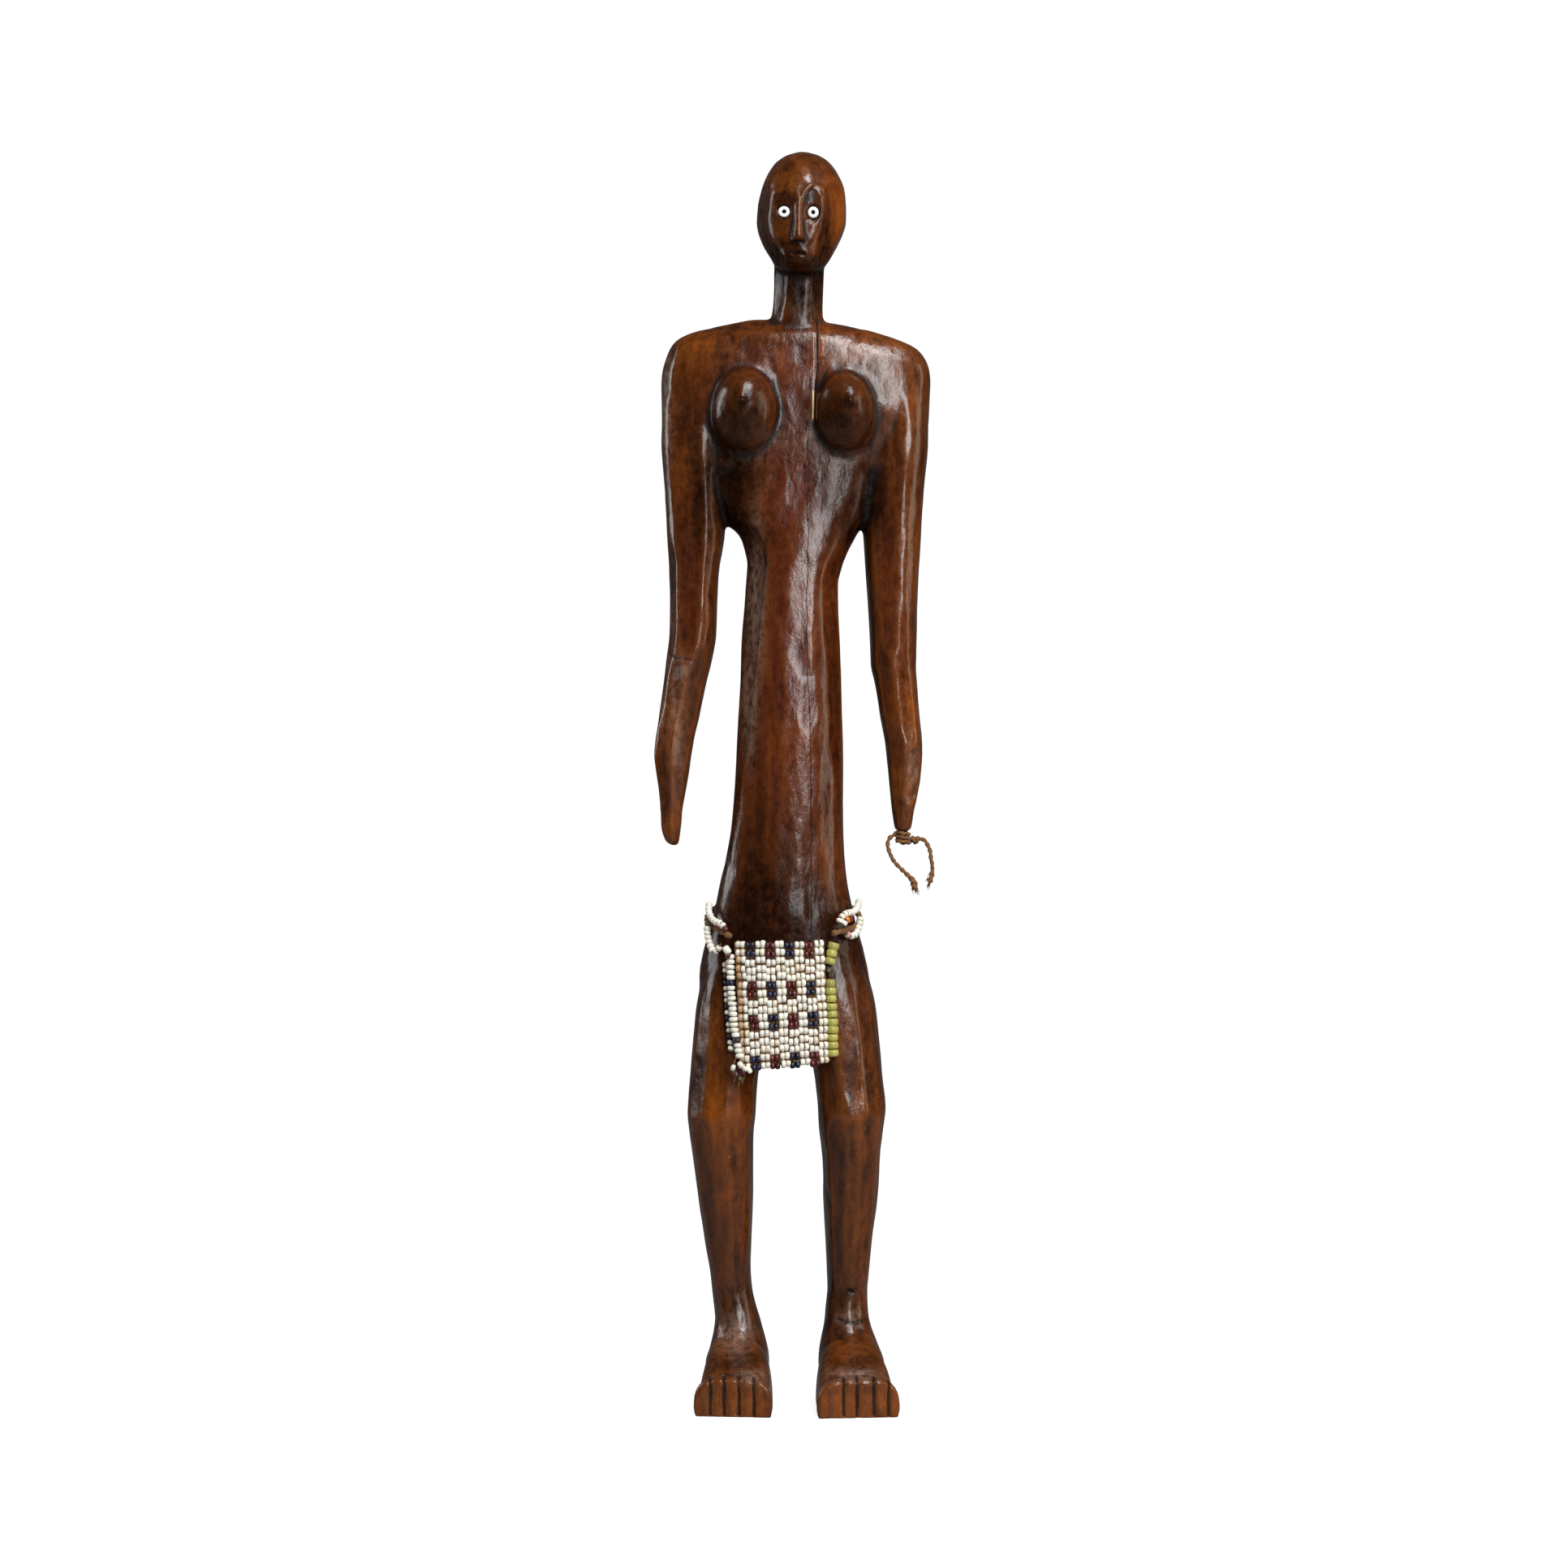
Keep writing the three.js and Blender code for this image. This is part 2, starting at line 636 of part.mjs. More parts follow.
// A string of beads along a curve, each bead a swelling between two narrow waists.
function strand(points, radius, length, sides) {
  const curve = curveThrough(points);
  const count = Math.round(curve.getLength() / length);
  const frames = curve.computeFrenetFrames(2 * count);
  const rings = Array.from({ length: 2 * count + 1 }, (_, i) => {
    const centre = curve.getPointAt(i / (2 * count));
    const reach = radius * (i % 2 ? 1 : WAIST_SHARE);
    return Array.from({ length: sides }, (_, k) => {
      const angle = (2 * Math.PI * k) / sides;
      return centre
        .clone()
        .addScaledVector(frames.normals[i], reach * Math.cos(angle))
        .addScaledVector(frames.binormals[i], reach * Math.sin(angle));
    });
  });
  return loft(rings);
}

function cordAlong(points, radius, steps) {
  const outline = Array.from({ length: CORD_SIDES }, (_, k) => {
    const angle = (2 * Math.PI * k) / CORD_SIDES;
    return new THREE.Vector2(radius * Math.cos(angle), radius * Math.sin(angle));
  });
  return new THREE.ExtrudeGeometry(new THREE.Shape(outline), {
    steps,
    bevelEnabled: false,
    extrudePath: curveThrough(points),
  });
}

// Apron
function apronY(x, z) {
  const down = (APRON_TOP - z) / (APRON_ROWS * ROW_PITCH_LEFT);
  const curve = THREE.MathUtils.lerp(APRON_CURVE.top, APRON_CURVE.bottom, down);
  return APRON_BACK - BEADWORK.middle + curve * (x - APRON_MIDDLE) ** 2;
}

function apronPoint(across, row, out) {
  const pitch = ROW_PITCH_LEFT + (ROW_PITCH_RIGHT - ROW_PITCH_LEFT) * across;
  const lean = (APRON_LEAN * row) / (APRON_ROWS - 1);
  const x = APRON_LEFT + across * APRON_PAIRS * PAIR_LENGTH + lean;
  const z = APRON_TOP - row * pitch;
  return new THREE.Vector3(x, apronY(x, z) + out, z);
}

// How far the beadwork's face stands from its middle, at every joint and middle of a pair and at
// every valley and ridge of a row.
function apronGrid(standing) {
  return Array.from({ length: 2 * APRON_ROWS + 1 }, (_, r) =>
    Array.from({ length: 2 * APRON_PAIRS + 1 }, (_, c) =>
      apronPoint(c / (2 * APRON_PAIRS), (r - 1) / 2, standing(r % 2 === 1, c % 2 === 1)),
    ),
  );
}

function apronPanel() {
  const front = apronGrid((ridge, middle) => {
    if (ridge) return -(middle ? BEADWORK.middle : BEADWORK.between);
    return -(middle ? BEADWORK.valleyMiddle : BEADWORK.valleyBetween);
  });
  return slab(front, apronGrid(() => BEADWORK.between));
}

// A slab with a grid of points in front and a plain back: the back is made of long upright strips
// between the upper and the lower edge, and both its side edges are joined to the next strip.
function slab(front, back) {
  const [rows, columns] = [front.length, front[0].length];
  const points = [...front.flat(), ...back.flat()];
  const [behind, bottom] = [rows * columns, (rows - 1) * columns];
  const faces = [];
  const quad = (a, b, c, d) => faces.push(a, b, c, a, c, d);
  for (let r = 0; r + 1 < rows; r++) {
    const [left, right] = [r * columns, r * columns + columns - 1];
    quad(left, left + columns, left + columns + behind, left + behind);
    quad(right, right + behind, right + columns + behind, right + columns);
    faces.push(behind + 1, left + behind, left + columns + behind);
    faces.push(behind + columns - 2, right + columns + behind, right + behind);
    for (let c = 0; c + 1 < columns; c++) {
      const a = r * columns + c;
      quad(a, a + 1, a + 1 + columns, a + columns);
    }
  }
  faces.push(behind + 1, behind + bottom, behind + bottom + 1);
  faces.push(behind + columns - 2, behind + bottom + columns - 2, behind + bottom + columns - 1);
  for (let c = 0; c + 1 < columns; c++) {
    const last = bottom + c;
    quad(c, c + behind, c + 1 + behind, c + 1);
    quad(last, last + 1, last + 1 + behind, last + behind);
    if (c > 0 && c + 2 < columns) {
      quad(c + behind, last + behind, last + 1 + behind, c + 1 + behind);
    }
  }
  const used = [...new Set(faces)];
  const place = new Map(used.map((old, i) => [old, i]));
  return facingOut(
    used.map((old) => points[old]),
    faces.map((old) => place.get(old)),
  );
}

function edgeStrand({ radius, length, top, bottom }) {
  const at = ([x, z]) => [x, apronY(x, z), z];
  const middle = [(top[0] + bottom[0]) / 2, (top[1] + bottom[1]) / 2];
  return strand([at(top), at(middle), at(bottom)], radius, length, EDGE_SIDES);
}

// Waist cord, held against the hips all the way
function hipPoint(angle) {
  const back = (1 + Math.sin(angle)) / 2;
  const height = CORD_FRONT_HEIGHT + CORD_RISE * back ** 1.4;
  const [, x, halfWidth, front, rear, power] = smoothTable(TORSO)(height);
  return [
    x + (halfWidth + CORD_STANDOFF) * rounded(Math.cos(angle), power),
    (front + rear) / 2 + ((rear - front) / 2 + CORD_STANDOFF) * rounded(Math.sin(angle), power),
    height,
  ];
}

function waistPoints() {
  const { left, right } = CORD_LEAVES_BODY;
  const round = Array.from({ length: HIP_POINTS + 1 }, (_, i) =>
    hipPoint(left + ((right - 2 * Math.PI - left) * i) / HIP_POINTS),
  );
  return [CORD_ENDS[0], ...round, CORD_ENDS[1]];
}

// Bead strand wound round the waist cord at each hip: it lies above the cord, crosses over it on
// the outer side and hangs below it.
function waistBeads(turns, fromRight) {
  const cord = curveThrough(waistPoints());
  const length = cord.getLength();
  const points = turns.map(([along, turn, distance]) => {
    const share = (fromRight ? length - along : along) / length;
    const radians = THREE.MathUtils.degToRad(turn);
    const tangent = cord.getTangentAt(share);
    const outward = new THREE.Vector3(-tangent.y, tangent.x, 0).normalize();
    const point = cord.getPointAt(share).addScaledVector(outward, distance * Math.cos(radians));
    return [point.x, point.y, point.z + distance * Math.sin(radians)];
  });
  return strand(points, BEAD_RADIUS, BEAD_LENGTH, WAIST_STRAND_SIDES);
}

// Wrist cord
function wristWrap() {
  const ring = new THREE.LatheGeometry(
    WRIST_WRAP.map(([r, z]) => new THREE.Vector2(r, z)),
    WRAP_SIDES,
  );
  ring.rotateX(Math.PI / 2);
  ring.translate(WRIST.x, WRIST.y, 0);
  return geometryOf(solidOf(ring).add(ellipsoid(KNOT.centre, KNOT.radii)));
}

addNode("figure", carvedFigure(), wood);
EYES.forEach((eye) => addNode(eye.name, eyeBead(eye), ivoryBead));
addNode("apron_panel", apronPanel(), ivoryBead);
addNode("apron_white_edge", edgeStrand(WHITE_EDGE), ivoryBead);
addNode("apron_green_edge", edgeStrand(GREEN_EDGE), greenBead);
addNode("waist_cord", cordAlong(waistPoints(), CORD_RADIUS, CORD_STEPS), fibre);
addNode("waist_beads_left", waistBeads(WAIST_BEADS_LEFT, false), ivoryBead);
addNode("waist_beads_right", waistBeads(WAIST_BEADS_RIGHT, true), ivoryBead);
addNode("wrist_wrap", wristWrap(), fibre);
for (const [name, points] of Object.entries(TAILS)) {
  addNode(name, cordAlong(points, TAIL_RADIUS, TAIL_STEPS), fibre);
}

export default part;
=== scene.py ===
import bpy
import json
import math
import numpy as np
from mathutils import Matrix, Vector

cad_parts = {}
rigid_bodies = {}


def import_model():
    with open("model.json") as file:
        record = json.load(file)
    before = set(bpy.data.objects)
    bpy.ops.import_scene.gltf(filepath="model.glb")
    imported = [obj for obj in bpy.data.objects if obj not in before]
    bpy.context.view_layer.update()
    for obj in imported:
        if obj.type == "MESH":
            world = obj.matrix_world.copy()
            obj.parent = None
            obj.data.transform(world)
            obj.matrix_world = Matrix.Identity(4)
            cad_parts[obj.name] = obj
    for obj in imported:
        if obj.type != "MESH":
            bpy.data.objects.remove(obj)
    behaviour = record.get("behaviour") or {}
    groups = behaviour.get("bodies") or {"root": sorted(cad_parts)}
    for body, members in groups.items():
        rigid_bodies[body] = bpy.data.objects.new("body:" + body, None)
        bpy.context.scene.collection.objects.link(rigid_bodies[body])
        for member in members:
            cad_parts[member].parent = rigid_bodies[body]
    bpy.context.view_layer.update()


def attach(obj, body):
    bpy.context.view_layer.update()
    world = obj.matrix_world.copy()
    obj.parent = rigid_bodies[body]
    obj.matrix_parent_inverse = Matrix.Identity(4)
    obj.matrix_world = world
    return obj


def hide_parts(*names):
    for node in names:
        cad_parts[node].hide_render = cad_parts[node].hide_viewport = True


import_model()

# %% [markdown]
# A carved wooden woman with a beaded apron
#
# The figure is carved from one piece of dark wood and rubbed smooth by hands. Its solids are
# already in the file, as plain faceted bodies. This lesson makes the surfaces that are seen: the
# wood with its knife cuts and cracks, the glass beads of the apron, and the twisted cords.
#
# Everything is in metres, the soles are on z = 0 and the figure faces -Y. The shapes are worked out
# in millimetres, as the carver's sizes are easier to read that way, and made metres at the end.

MM = 0.001
rng = np.random.default_rng(61)


def new_object(name, data):
    """A new object that carries the given data, linked to the scene."""
    made = bpy.data.objects.new(name, data)
    bpy.context.scene.collection.objects.link(made)
    return made


def mesh_piece(name, points, faces):
    """Puts points in millimetres and faces into a new smooth mesh that sits at the origin."""
    mesh = bpy.data.meshes.new(name)
    mesh.from_pydata((np.asarray(points) * MM).tolist(), [], [list(face) for face in faces])
    mesh.validate()
    mesh.shade_smooth()
    return new_object(name, mesh)


def coordinates(piece):
    """The vertices of a piece, as an array of points in millimetres."""
    flat = np.empty(len(piece.data.vertices) * 3, np.float32)
    piece.data.vertices.foreach_get("co", flat)
    return flat.reshape(-1, 3).astype(float) / MM


def set_coordinates(piece, points):
    """Writes points in millimetres back into the vertices of a piece."""
    piece.data.vertices.foreach_set("co", (points * MM).astype(np.float32).ravel())
    piece.data.update()


# %% [markdown]
# The camera
#
# The photograph was taken level, with a long lens, and two metres is a likely distance: the sides
# of the figure hardly converge. A camera looks along its own -Z, so a quarter turn about X makes it
# level.

# %% Camera
CAMERA_DISTANCE = 2000
CAMERA_HEIGHT = 271.1
CAMERA_SIDE = -3.7
LENS = 105.7
SENSOR_WIDTH = 36
SIGHT_LIMIT = 50

camera_data = bpy.data.cameras.new("camera")
camera_data.lens = LENS
camera_data.sensor_width = SENSOR_WIDTH
camera_data.clip_end = SIGHT_LIMIT
camera = new_object("camera", camera_data)
camera.location = (CAMERA_SIDE * MM, -CAMERA_DISTANCE * MM, CAMERA_HEIGHT * MM)
camera.rotation_euler = (math.pi / 2, 0, 0)
bpy.context.scene.camera = camera
print("camera at", tuple(round(v, 3) for v in camera.location))

# %% [markdown]
# The cords
#
# Two kinds of cord are on the figure. One is tied round the wrist of one arm and its two ends hang
# free. The other goes round the hips and carries the apron. Both are plant fibre rolled into two
# strands that are twisted together. A tube with a round cross-section would look like wire, so the
# cross-section here has two lobes, and it turns as it goes along the line.

# %% A line through a few points
CURVE_STEPS = 24


def steps_along(line):
    """How far along a line each of its points is: 0 at the first, the whole length at the last."""
    return np.concatenate([[0], np.cumsum(np.linalg.norm(np.diff(line, axis=0), axis=1))])


def line_length(line):
    """The sum of the steps between the points of a line."""
    return float(np.linalg.norm(np.diff(line, axis=0), axis=1).sum())


def at_places(places, along, vectors):
    """Vectors between those given along a line, each part on a straight run from one to the next."""
    return np.stack([np.interp(places, along, vectors[:, k]) for k in range(3)], axis=1)


def smooth_line(points, spacing):
    """A Catmull-Rom curve through the points, sampled at about equal steps of the given spacing.
    Each stretch between two points is a cubic whose slope at a point is half the step between the
    points on both sides of it."""
    points = np.asarray(points, float)
    ends = np.vstack([2 * points[0] - points[1], points, 2 * points[-1] - points[-2]])
    t = np.linspace(0, 1, CURVE_STEPS, endpoint=False)[:, None]
    parts = []
    for p0, p1, p2, p3 in zip(ends[:-3], ends[1:-2], ends[2:-1], ends[3:]):
        a = 2 * p1 + (p2 - p0) * t
        b = (2 * p0 - 5 * p1 + 4 * p2 - p3) * t**2
        c = (3 * p1 - p0 - 3 * p2 + p3) * t**3
        parts.append((a + b + c) / 2)
    fine = np.vstack(parts + [points[-1:]])
    along = steps_along(fine)
    count = max(2, int(round(along[-1] / spacing)) + 1)
    return at_places(np.linspace(0, along[-1], count), along, fine)


def side_and_up(line, fixed):
    """Side and up of a line at each of its points. The side is the line's direction crossed with a
    fixed vector that it never runs along, and up is the side crossed with the direction."""
    direction = np.gradient(line, axis=0)
    direction /= np.linalg.norm(direction, axis=1)[:, None]
    side = np.cross(direction, fixed)
    side /= np.linalg.norm(side, axis=1)[:, None]
    return side, np.cross(side, direction)


print("line helpers ready")

# %% A closed tube
def grid_faces(rows, columns, closed_round=True):
    """Faces of a grid of points: each one joins two neighbours in a row to the two below."""
    last_column = columns if closed_round else columns - 1
    r, c = np.meshgrid(np.arange(rows - 1), np.arange(last_column), indexing="ij")
    a = r * columns + c
    b = r * columns + (c + 1) % columns
    return np.stack([a, b, b + columns, a + columns], axis=-1).reshape(-1, 4)


def tube_shell(rings):
    """A closed shell from rings of points, shape (rings, points round, 3), with a pole at each end."""
    count, around, _ = rings.shape
    poles = np.stack([rings[0].mean(axis=0), rings[-1].mean(axis=0)])
    faces = grid_faces(count, around).tolist()
    k = np.arange(around)
    start = np.stack([np.full(around, count * around), (k + 1) % around, k], axis=-1)
    last = (count - 1) * around
    end = np.stack([np.full(around, count * around + 1), last + k, last + (k + 1) % around], axis=-1)
    return np.vstack([rings.reshape(-1, 3), poles]), faces + start.tolist() + end.tolist()


def merged(shells):
    """Several shells as one list of points and one list of faces."""
    points, faces, base = [], [], 0
    for shell_points, shell_faces in shells:
        points.append(shell_points)
        faces += [[base + i for i in face] for face in shell_faces]
        base += len(shell_points)
    return np.vstack(points), faces


print("shell helpers ready")

# %% A twisted cord
def twisted_cord(line, fixed, radius, twist_pitch, around, roughness):
    """Rings round a line. At turn angle a the radius is 0.6 + 0.4 |cos(a - twist)| of the full one,
    which is two strands side by side, and the twist grows evenly along the line."""
    side, up = side_and_up(line, fixed)
    turn = 2 * np.pi * steps_along(line) / twist_pitch
    angle = 2 * np.pi * np.arange(around) / around
    lobes = 0.60 + 0.40 * np.abs(np.cos(angle[None, :] - turn[:, None]))
    uneven = 1 + roughness * rng.standard_normal(lobes.shape)
    reach = np.broadcast_to(np.asarray(radius, float).reshape(-1, 1), (len(line), 1)) * lobes * uneven
    return line[:, None] + reach[..., None] * (
        np.cos(angle)[None, :, None] * side[:, None] + np.sin(angle)[None, :, None] * up[:, None]
    )


LAY_PER_MM = 0.12


def lay_of(line, twist_pitch, around):
    """Where each point of a twisted cord lies on its strands: cosine and sine of the angle round
    the cord, counted from the twist, and the way along it. Fibres keep the same angle."""
    step = steps_along(line)
    angle = 2 * np.pi * np.arange(around)[None, :] / around - 2 * np.pi * step[:, None] / twist_pitch
    along = np.broadcast_to(step[:, None] * LAY_PER_MM, angle.shape)
    lay = np.stack([np.cos(angle), np.sin(angle), along], axis=-1).reshape(-1, 3)
    return np.vstack([lay, lay[0], lay[-1]])


def rolled(line, fixed, radius, twist_pitch, around, roughness=0.05):
    """A twisted cord along a line: its closed shell, and where its points lie on the strands. Its
    points turn from side to up, which is clockwise seen along the line. Each face is turned over,
    so that it points outwards."""
    rings = twisted_cord(line, fixed, radius, twist_pitch, around, roughness)
    cord_points, inward_faces = tube_shell(rings)
    outward_faces = [face[::-1] for face in inward_faces]
    return (cord_points, outward_faces), lay_of(line, twist_pitch, around)


def cord_piece(name, cords):
    """One piece of one or more rolled cords, with their lay kept at the vertices as a vector."""
    piece = mesh_piece(name, *merged([shell for shell, lay in cords]))
    layer = piece.data.attributes.new("lay", "FLOAT_VECTOR", "POINT")
    lay = np.vstack([lay for shell, lay in cords])
    layer.data.foreach_set("vector", lay.astype(np.float32).ravel())
    return piece


print("cord helpers ready")

# %% [markdown]
# The wrist cord
#
# One arm ends in a thin stub. The cord goes round it two and a half times, is knotted at the outer
# side, and both its ends hang down and open into loose fibres. It is one cord, so it is one piece:
# its line comes up one hanging end, goes round the stub and runs down the other.

# %% Route of the wrist cord
WRIST = (48.1, 6.1)
WRAP_RADIUS = 2.6
WRAP_TOP = 250
WRAP_BOTTOM = 245.6
WRAP_TURNS = 2.5
LEFT_TAIL = [
    (53.4, 5.2, 225),
    (52.5, 5, 228.8),
    (49.7, 4.7, 231.9),
    (46.9, 4.5, 234.5),
    (44.2, 4.4, 237.5),
    (42.3, 4.4, 241.2),
    (41.4, 4.6, 244.9),
    (42.4, 5, 247.6),
    (44.3, 5.6, 249),
]
RIGHT_TAIL = [
    (53.7, 6.1, 247.1),
    (57.1, 6, 246.8),
    (58.7, 5.8, 244.8),
    (59.9, 5.5, 242.1),
    (60.3, 5.3, 238.9),
    (60.9, 5.2, 235.4),
    (60.7, 5.2, 231.5),
    (59.6, 5.3, 228.3),
]
TAIL_RADIUS = 0.95
TWIST_PITCH = 5.4
CORD_AROUND = 14
CORD_SPACING = 0.4
WRAP_STARTS_LATE = 0.35

turn_steps = np.linspace(0, 1, 34)
wrap_angle = np.pi + WRAP_STARTS_LATE + (WRAP_TURNS * 2 * np.pi - WRAP_STARTS_LATE) * turn_steps
wrap = np.stack(
    [
        WRIST[0] + WRAP_RADIUS * np.cos(wrap_angle),
        WRIST[1] + WRAP_RADIUS * np.sin(wrap_angle),
        WRAP_TOP + (WRAP_BOTTOM - WRAP_TOP) * turn_steps,
    ],
    axis=1,
)
wrist_line = smooth_line(np.vstack([LEFT_TAIL, wrap, RIGHT_TAIL]), CORD_SPACING)
print("wrist cord is", round(line_length(wrist_line), 1), "mm long")

# %% Sides and thickness of the wrist cord
# The fixed vector points up where the cord goes round the stub, and to the back where it hangs.
UPWARD = np.array([0, 0, 1.0])
off_stub = np.hypot(wrist_line[:, 0] - WRIST[0], wrist_line[:, 1] - WRIST[1])
hanging = np.clip((off_stub - 2.7) / 0.9, 0, 1)
below = np.clip((244.5 - wrist_line[:, 2]) / 2, 0, 1)
hanging = np.maximum(hanging, below)[:, None]
wrist_fixed = hanging * np.array([0.1, 1, 0.1]) + (1 - hanging) * UPWARD

# The ends have come open, the left one more than the right one.
share = np.linspace(0, 1, len(wrist_line))
to_end = np.minimum(share, 1 - share) * line_length(wrist_line)
left_flare = 0.8 * np.exp(-(((to_end - 2.5) / 3.5) ** 2))
right_flare = 0.35 * np.exp(-(((to_end - 1.5) / 2.5) ** 2))
flare = np.where(share < 0.5, left_flare, right_flare)
wrist_radius = TAIL_RADIUS * (1 + 0.08 * np.sin(1.9 * to_end) + flare)
print("thickest at", round(2 * float(wrist_radius.max()), 1), "mm")

# %% Wrist cord and its knot
CORD_ROUGHNESS = 0.07
KNOT_MIDDLE = np.array([53.7, 6.1, 247.1])
KNOT_RADIUS = 0.85
KNOT_PITCH = 6
KNOT_LOOPS = [(1.5, 1.3, 0.5, -0.9), (1.6, 1.2, -0.6, 0.7), (1.2, 1.1, 1.4, 0.1)]

wrist_cord = cord_piece(
    "wrist_cord",
    [rolled(wrist_line, wrist_fixed, wrist_radius, TWIST_PITCH, CORD_AROUND, CORD_ROUGHNESS)],
)

# A loop of the knot is a ring with two radii. It is tilted about Y and shifted along X.
loop_angle = np.linspace(0, 2 * np.pi, 61)[:-1]
knot_cords = []
for deep, high, tilt, shift in KNOT_LOOPS:
    x = shift + 0.25 * np.sin(2 * loop_angle)
    z = high * np.sin(loop_angle)
    cos, sin = math.cos(tilt), math.sin(tilt)
    turned = np.stack([x * cos - z * sin, deep * np.cos(loop_angle), x * sin + z * cos], axis=1)
    loop = np.vstack([turned, turned[:3]]) + KNOT_MIDDLE
    inside = loop - KNOT_MIDDLE
    away = inside / np.linalg.norm(inside, axis=1)[:, None]
    knot_cords.append(rolled(loop, away, KNOT_RADIUS, KNOT_PITCH, CORD_AROUND))
knot = cord_piece("wrist_knot", knot_cords)
print("wrist cord and knot made")

# %% Loose fibres at both ends
FIBRES = 16
FIBRE_RADIUS = 0.15
FIBRE_PITCH = 3
FIBRE_AROUND = 6

fibre_cords = []
for end, inner in ((wrist_line[0], wrist_line[10]), (wrist_line[-1], wrist_line[-11])):
    ahead = (end - inner) / np.linalg.norm(end - inner)
    for _ in range(FIBRES):
        away = 0.75 * rng.standard_normal(3)
        reach = rng.uniform(0.3, 1.8)
        line = smooth_line([inner + 0.6 * away, end + 0.8 * away, end + reach * ahead + away], 0.6)
        fibre_cords.append(rolled(line, (0.2, 1.0, 0.1), FIBRE_RADIUS, FIBRE_PITCH, FIBRE_AROUND))
loose_fibres = cord_piece("cord_end_fibres", fibre_cords)
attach(loose_fibres, "root")
print(len(fibre_cords), "loose fibres")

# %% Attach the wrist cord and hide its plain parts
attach(wrist_cord, "root")
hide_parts("wrist_cord_left_tail", "wrist_cord_right_tail", "wrist_wrap")
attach(knot, "root")
print("wrist cord declared, its diameter is", round(2 * TAIL_RADIUS, 1), "mm")

# %% [markdown]
# The wooden body
#
# A carver starts from a block and takes the body down to tapering round forms: a torso, two arms,
# two legs, a neck and an egg-shaped head. Each form is made here the same way, as a skin over level
# cuts. A row of a table gives one cut: height, middle, half width, front, back, and how square the
# cut is, where 2 is an ellipse. Sculpting by hand would also work, but a table can be read, and it
# keeps the body on the sizes that the solids have.

# %% Level cuts of the torso and the shoulders
TORSO = [
    (172, -3.2, 32, -6, 25, 2.3),
    (185, -3.6, 37.4, -11.5, 31, 2.3),
    (199, -3.9, 34.9, -13, 31.5, 2.3),
    (211, -3.9, 31.6, -13, 30, 2.2),
    (224, -3.9, 28.6, -12.5, 27.5, 2.2),
    (238, -3.3, 26.2, -12, 25, 2.2),
    (259, -2.3, 24.4, -12, 23, 2.2),
    (287, -1.4, 23.5, -12, 22, 2.2),
    (330, -0.7, 21.8, -11.5, 21, 2.2),
    (358, 0, 20.4, -11, 21, 2.2),
    (366, 1.2, 21.2, -10.5, 21, 2.2),
    (379, 2.2, 25.6, -10, 22, 2.2),
    (387, 1, 32, -9.5, 22, 2.3),
    (404, 1, 39, -9, 23, 2.4),
    (425, 1, 45, -9, 24, 2.5),
    (445, 1.2, 49, -8.5, 24, 2.5),
    (458, 1.1, 46, -7, 22, 2.5),
    (467, -1, 34, -4, 18, 2.4),
    (471, 0, 20, 0, 15, 2.2),
]
SHOULDERS = [
    (383.5, 0.9, 52, 4, 13, 2.4),
    (390, 0.9, 55, 1.5, 16, 2.5),
    (404, 0.7, 56.8, -3, 20, 2.6),
    (422, 1.1, 58, -7, 22.5, 2.8),
    (436, 1.4, 58.6, -9, 23.5, 3),
    (446, 1.5, 58.8, -9, 23.5, 3),
    (452, 1.5, 58.1, -8.5, 23, 3),
    (457.5, 1.1, 56, -7, 22, 2.9),
    (461, 0.2, 53.6, -5.5, 20.5, 2.8),
    (464.5, -1.9, 48.6, -3.5, 19, 2.7),
    (468, -3.6, 39.6, -1, 16.5, 2.5),
    (471, -3.6, 27, 2, 14, 2.3),
    (473.6, -5, 13, 4, 12, 2.2),
]
print("torso", len(TORSO), "cuts, shoulders", len(SHOULDERS))

# %% Level cuts of the arms
ARM_LEFT = [
    (244.4, -51.6, 1.4, 5.5, 8.5, 2),
    (246, -52.3, 2.9, 3.5, 10.5, 2),
    (252, -52.9, 4.3, 1.5, 12.5, 2),
    (259, -52.9, 5, 0.5, 14, 2.1),
    (270, -52.4, 6.4, -1, 15.5, 2.2),
    (280.5, -52.4, 8, -2, 16.5, 2.3),
    (287, -51.8, 8.5, -2.5, 17, 2.3),
    (301, -49.3, 8.9, -3, 18, 2.3),
    (316, -46.7, 9.4, -3.5, 18.5, 2.3),
    (323, -45.4, 9.9, -4, 19, 2.3),
    (337, -43.5, 10.4, -4.5, 19.5, 2.3),
    (351, -43.1, 10.5, -5, 20, 2.3),
    (365, -42.8, 11.1, -5, 20.5, 2.4),
    (379, -42.1, 12.6, -5, 21, 2.4),
    (398, -42.6, 13.2, -5.5, 21.5, 2.4),
    (420, -43.6, 13.6, -7, 22, 2.5),
    (438, -43.5, 13.2, -6.5, 21, 2.5),
    (452, -41, 8, -2, 17, 2.4),
]
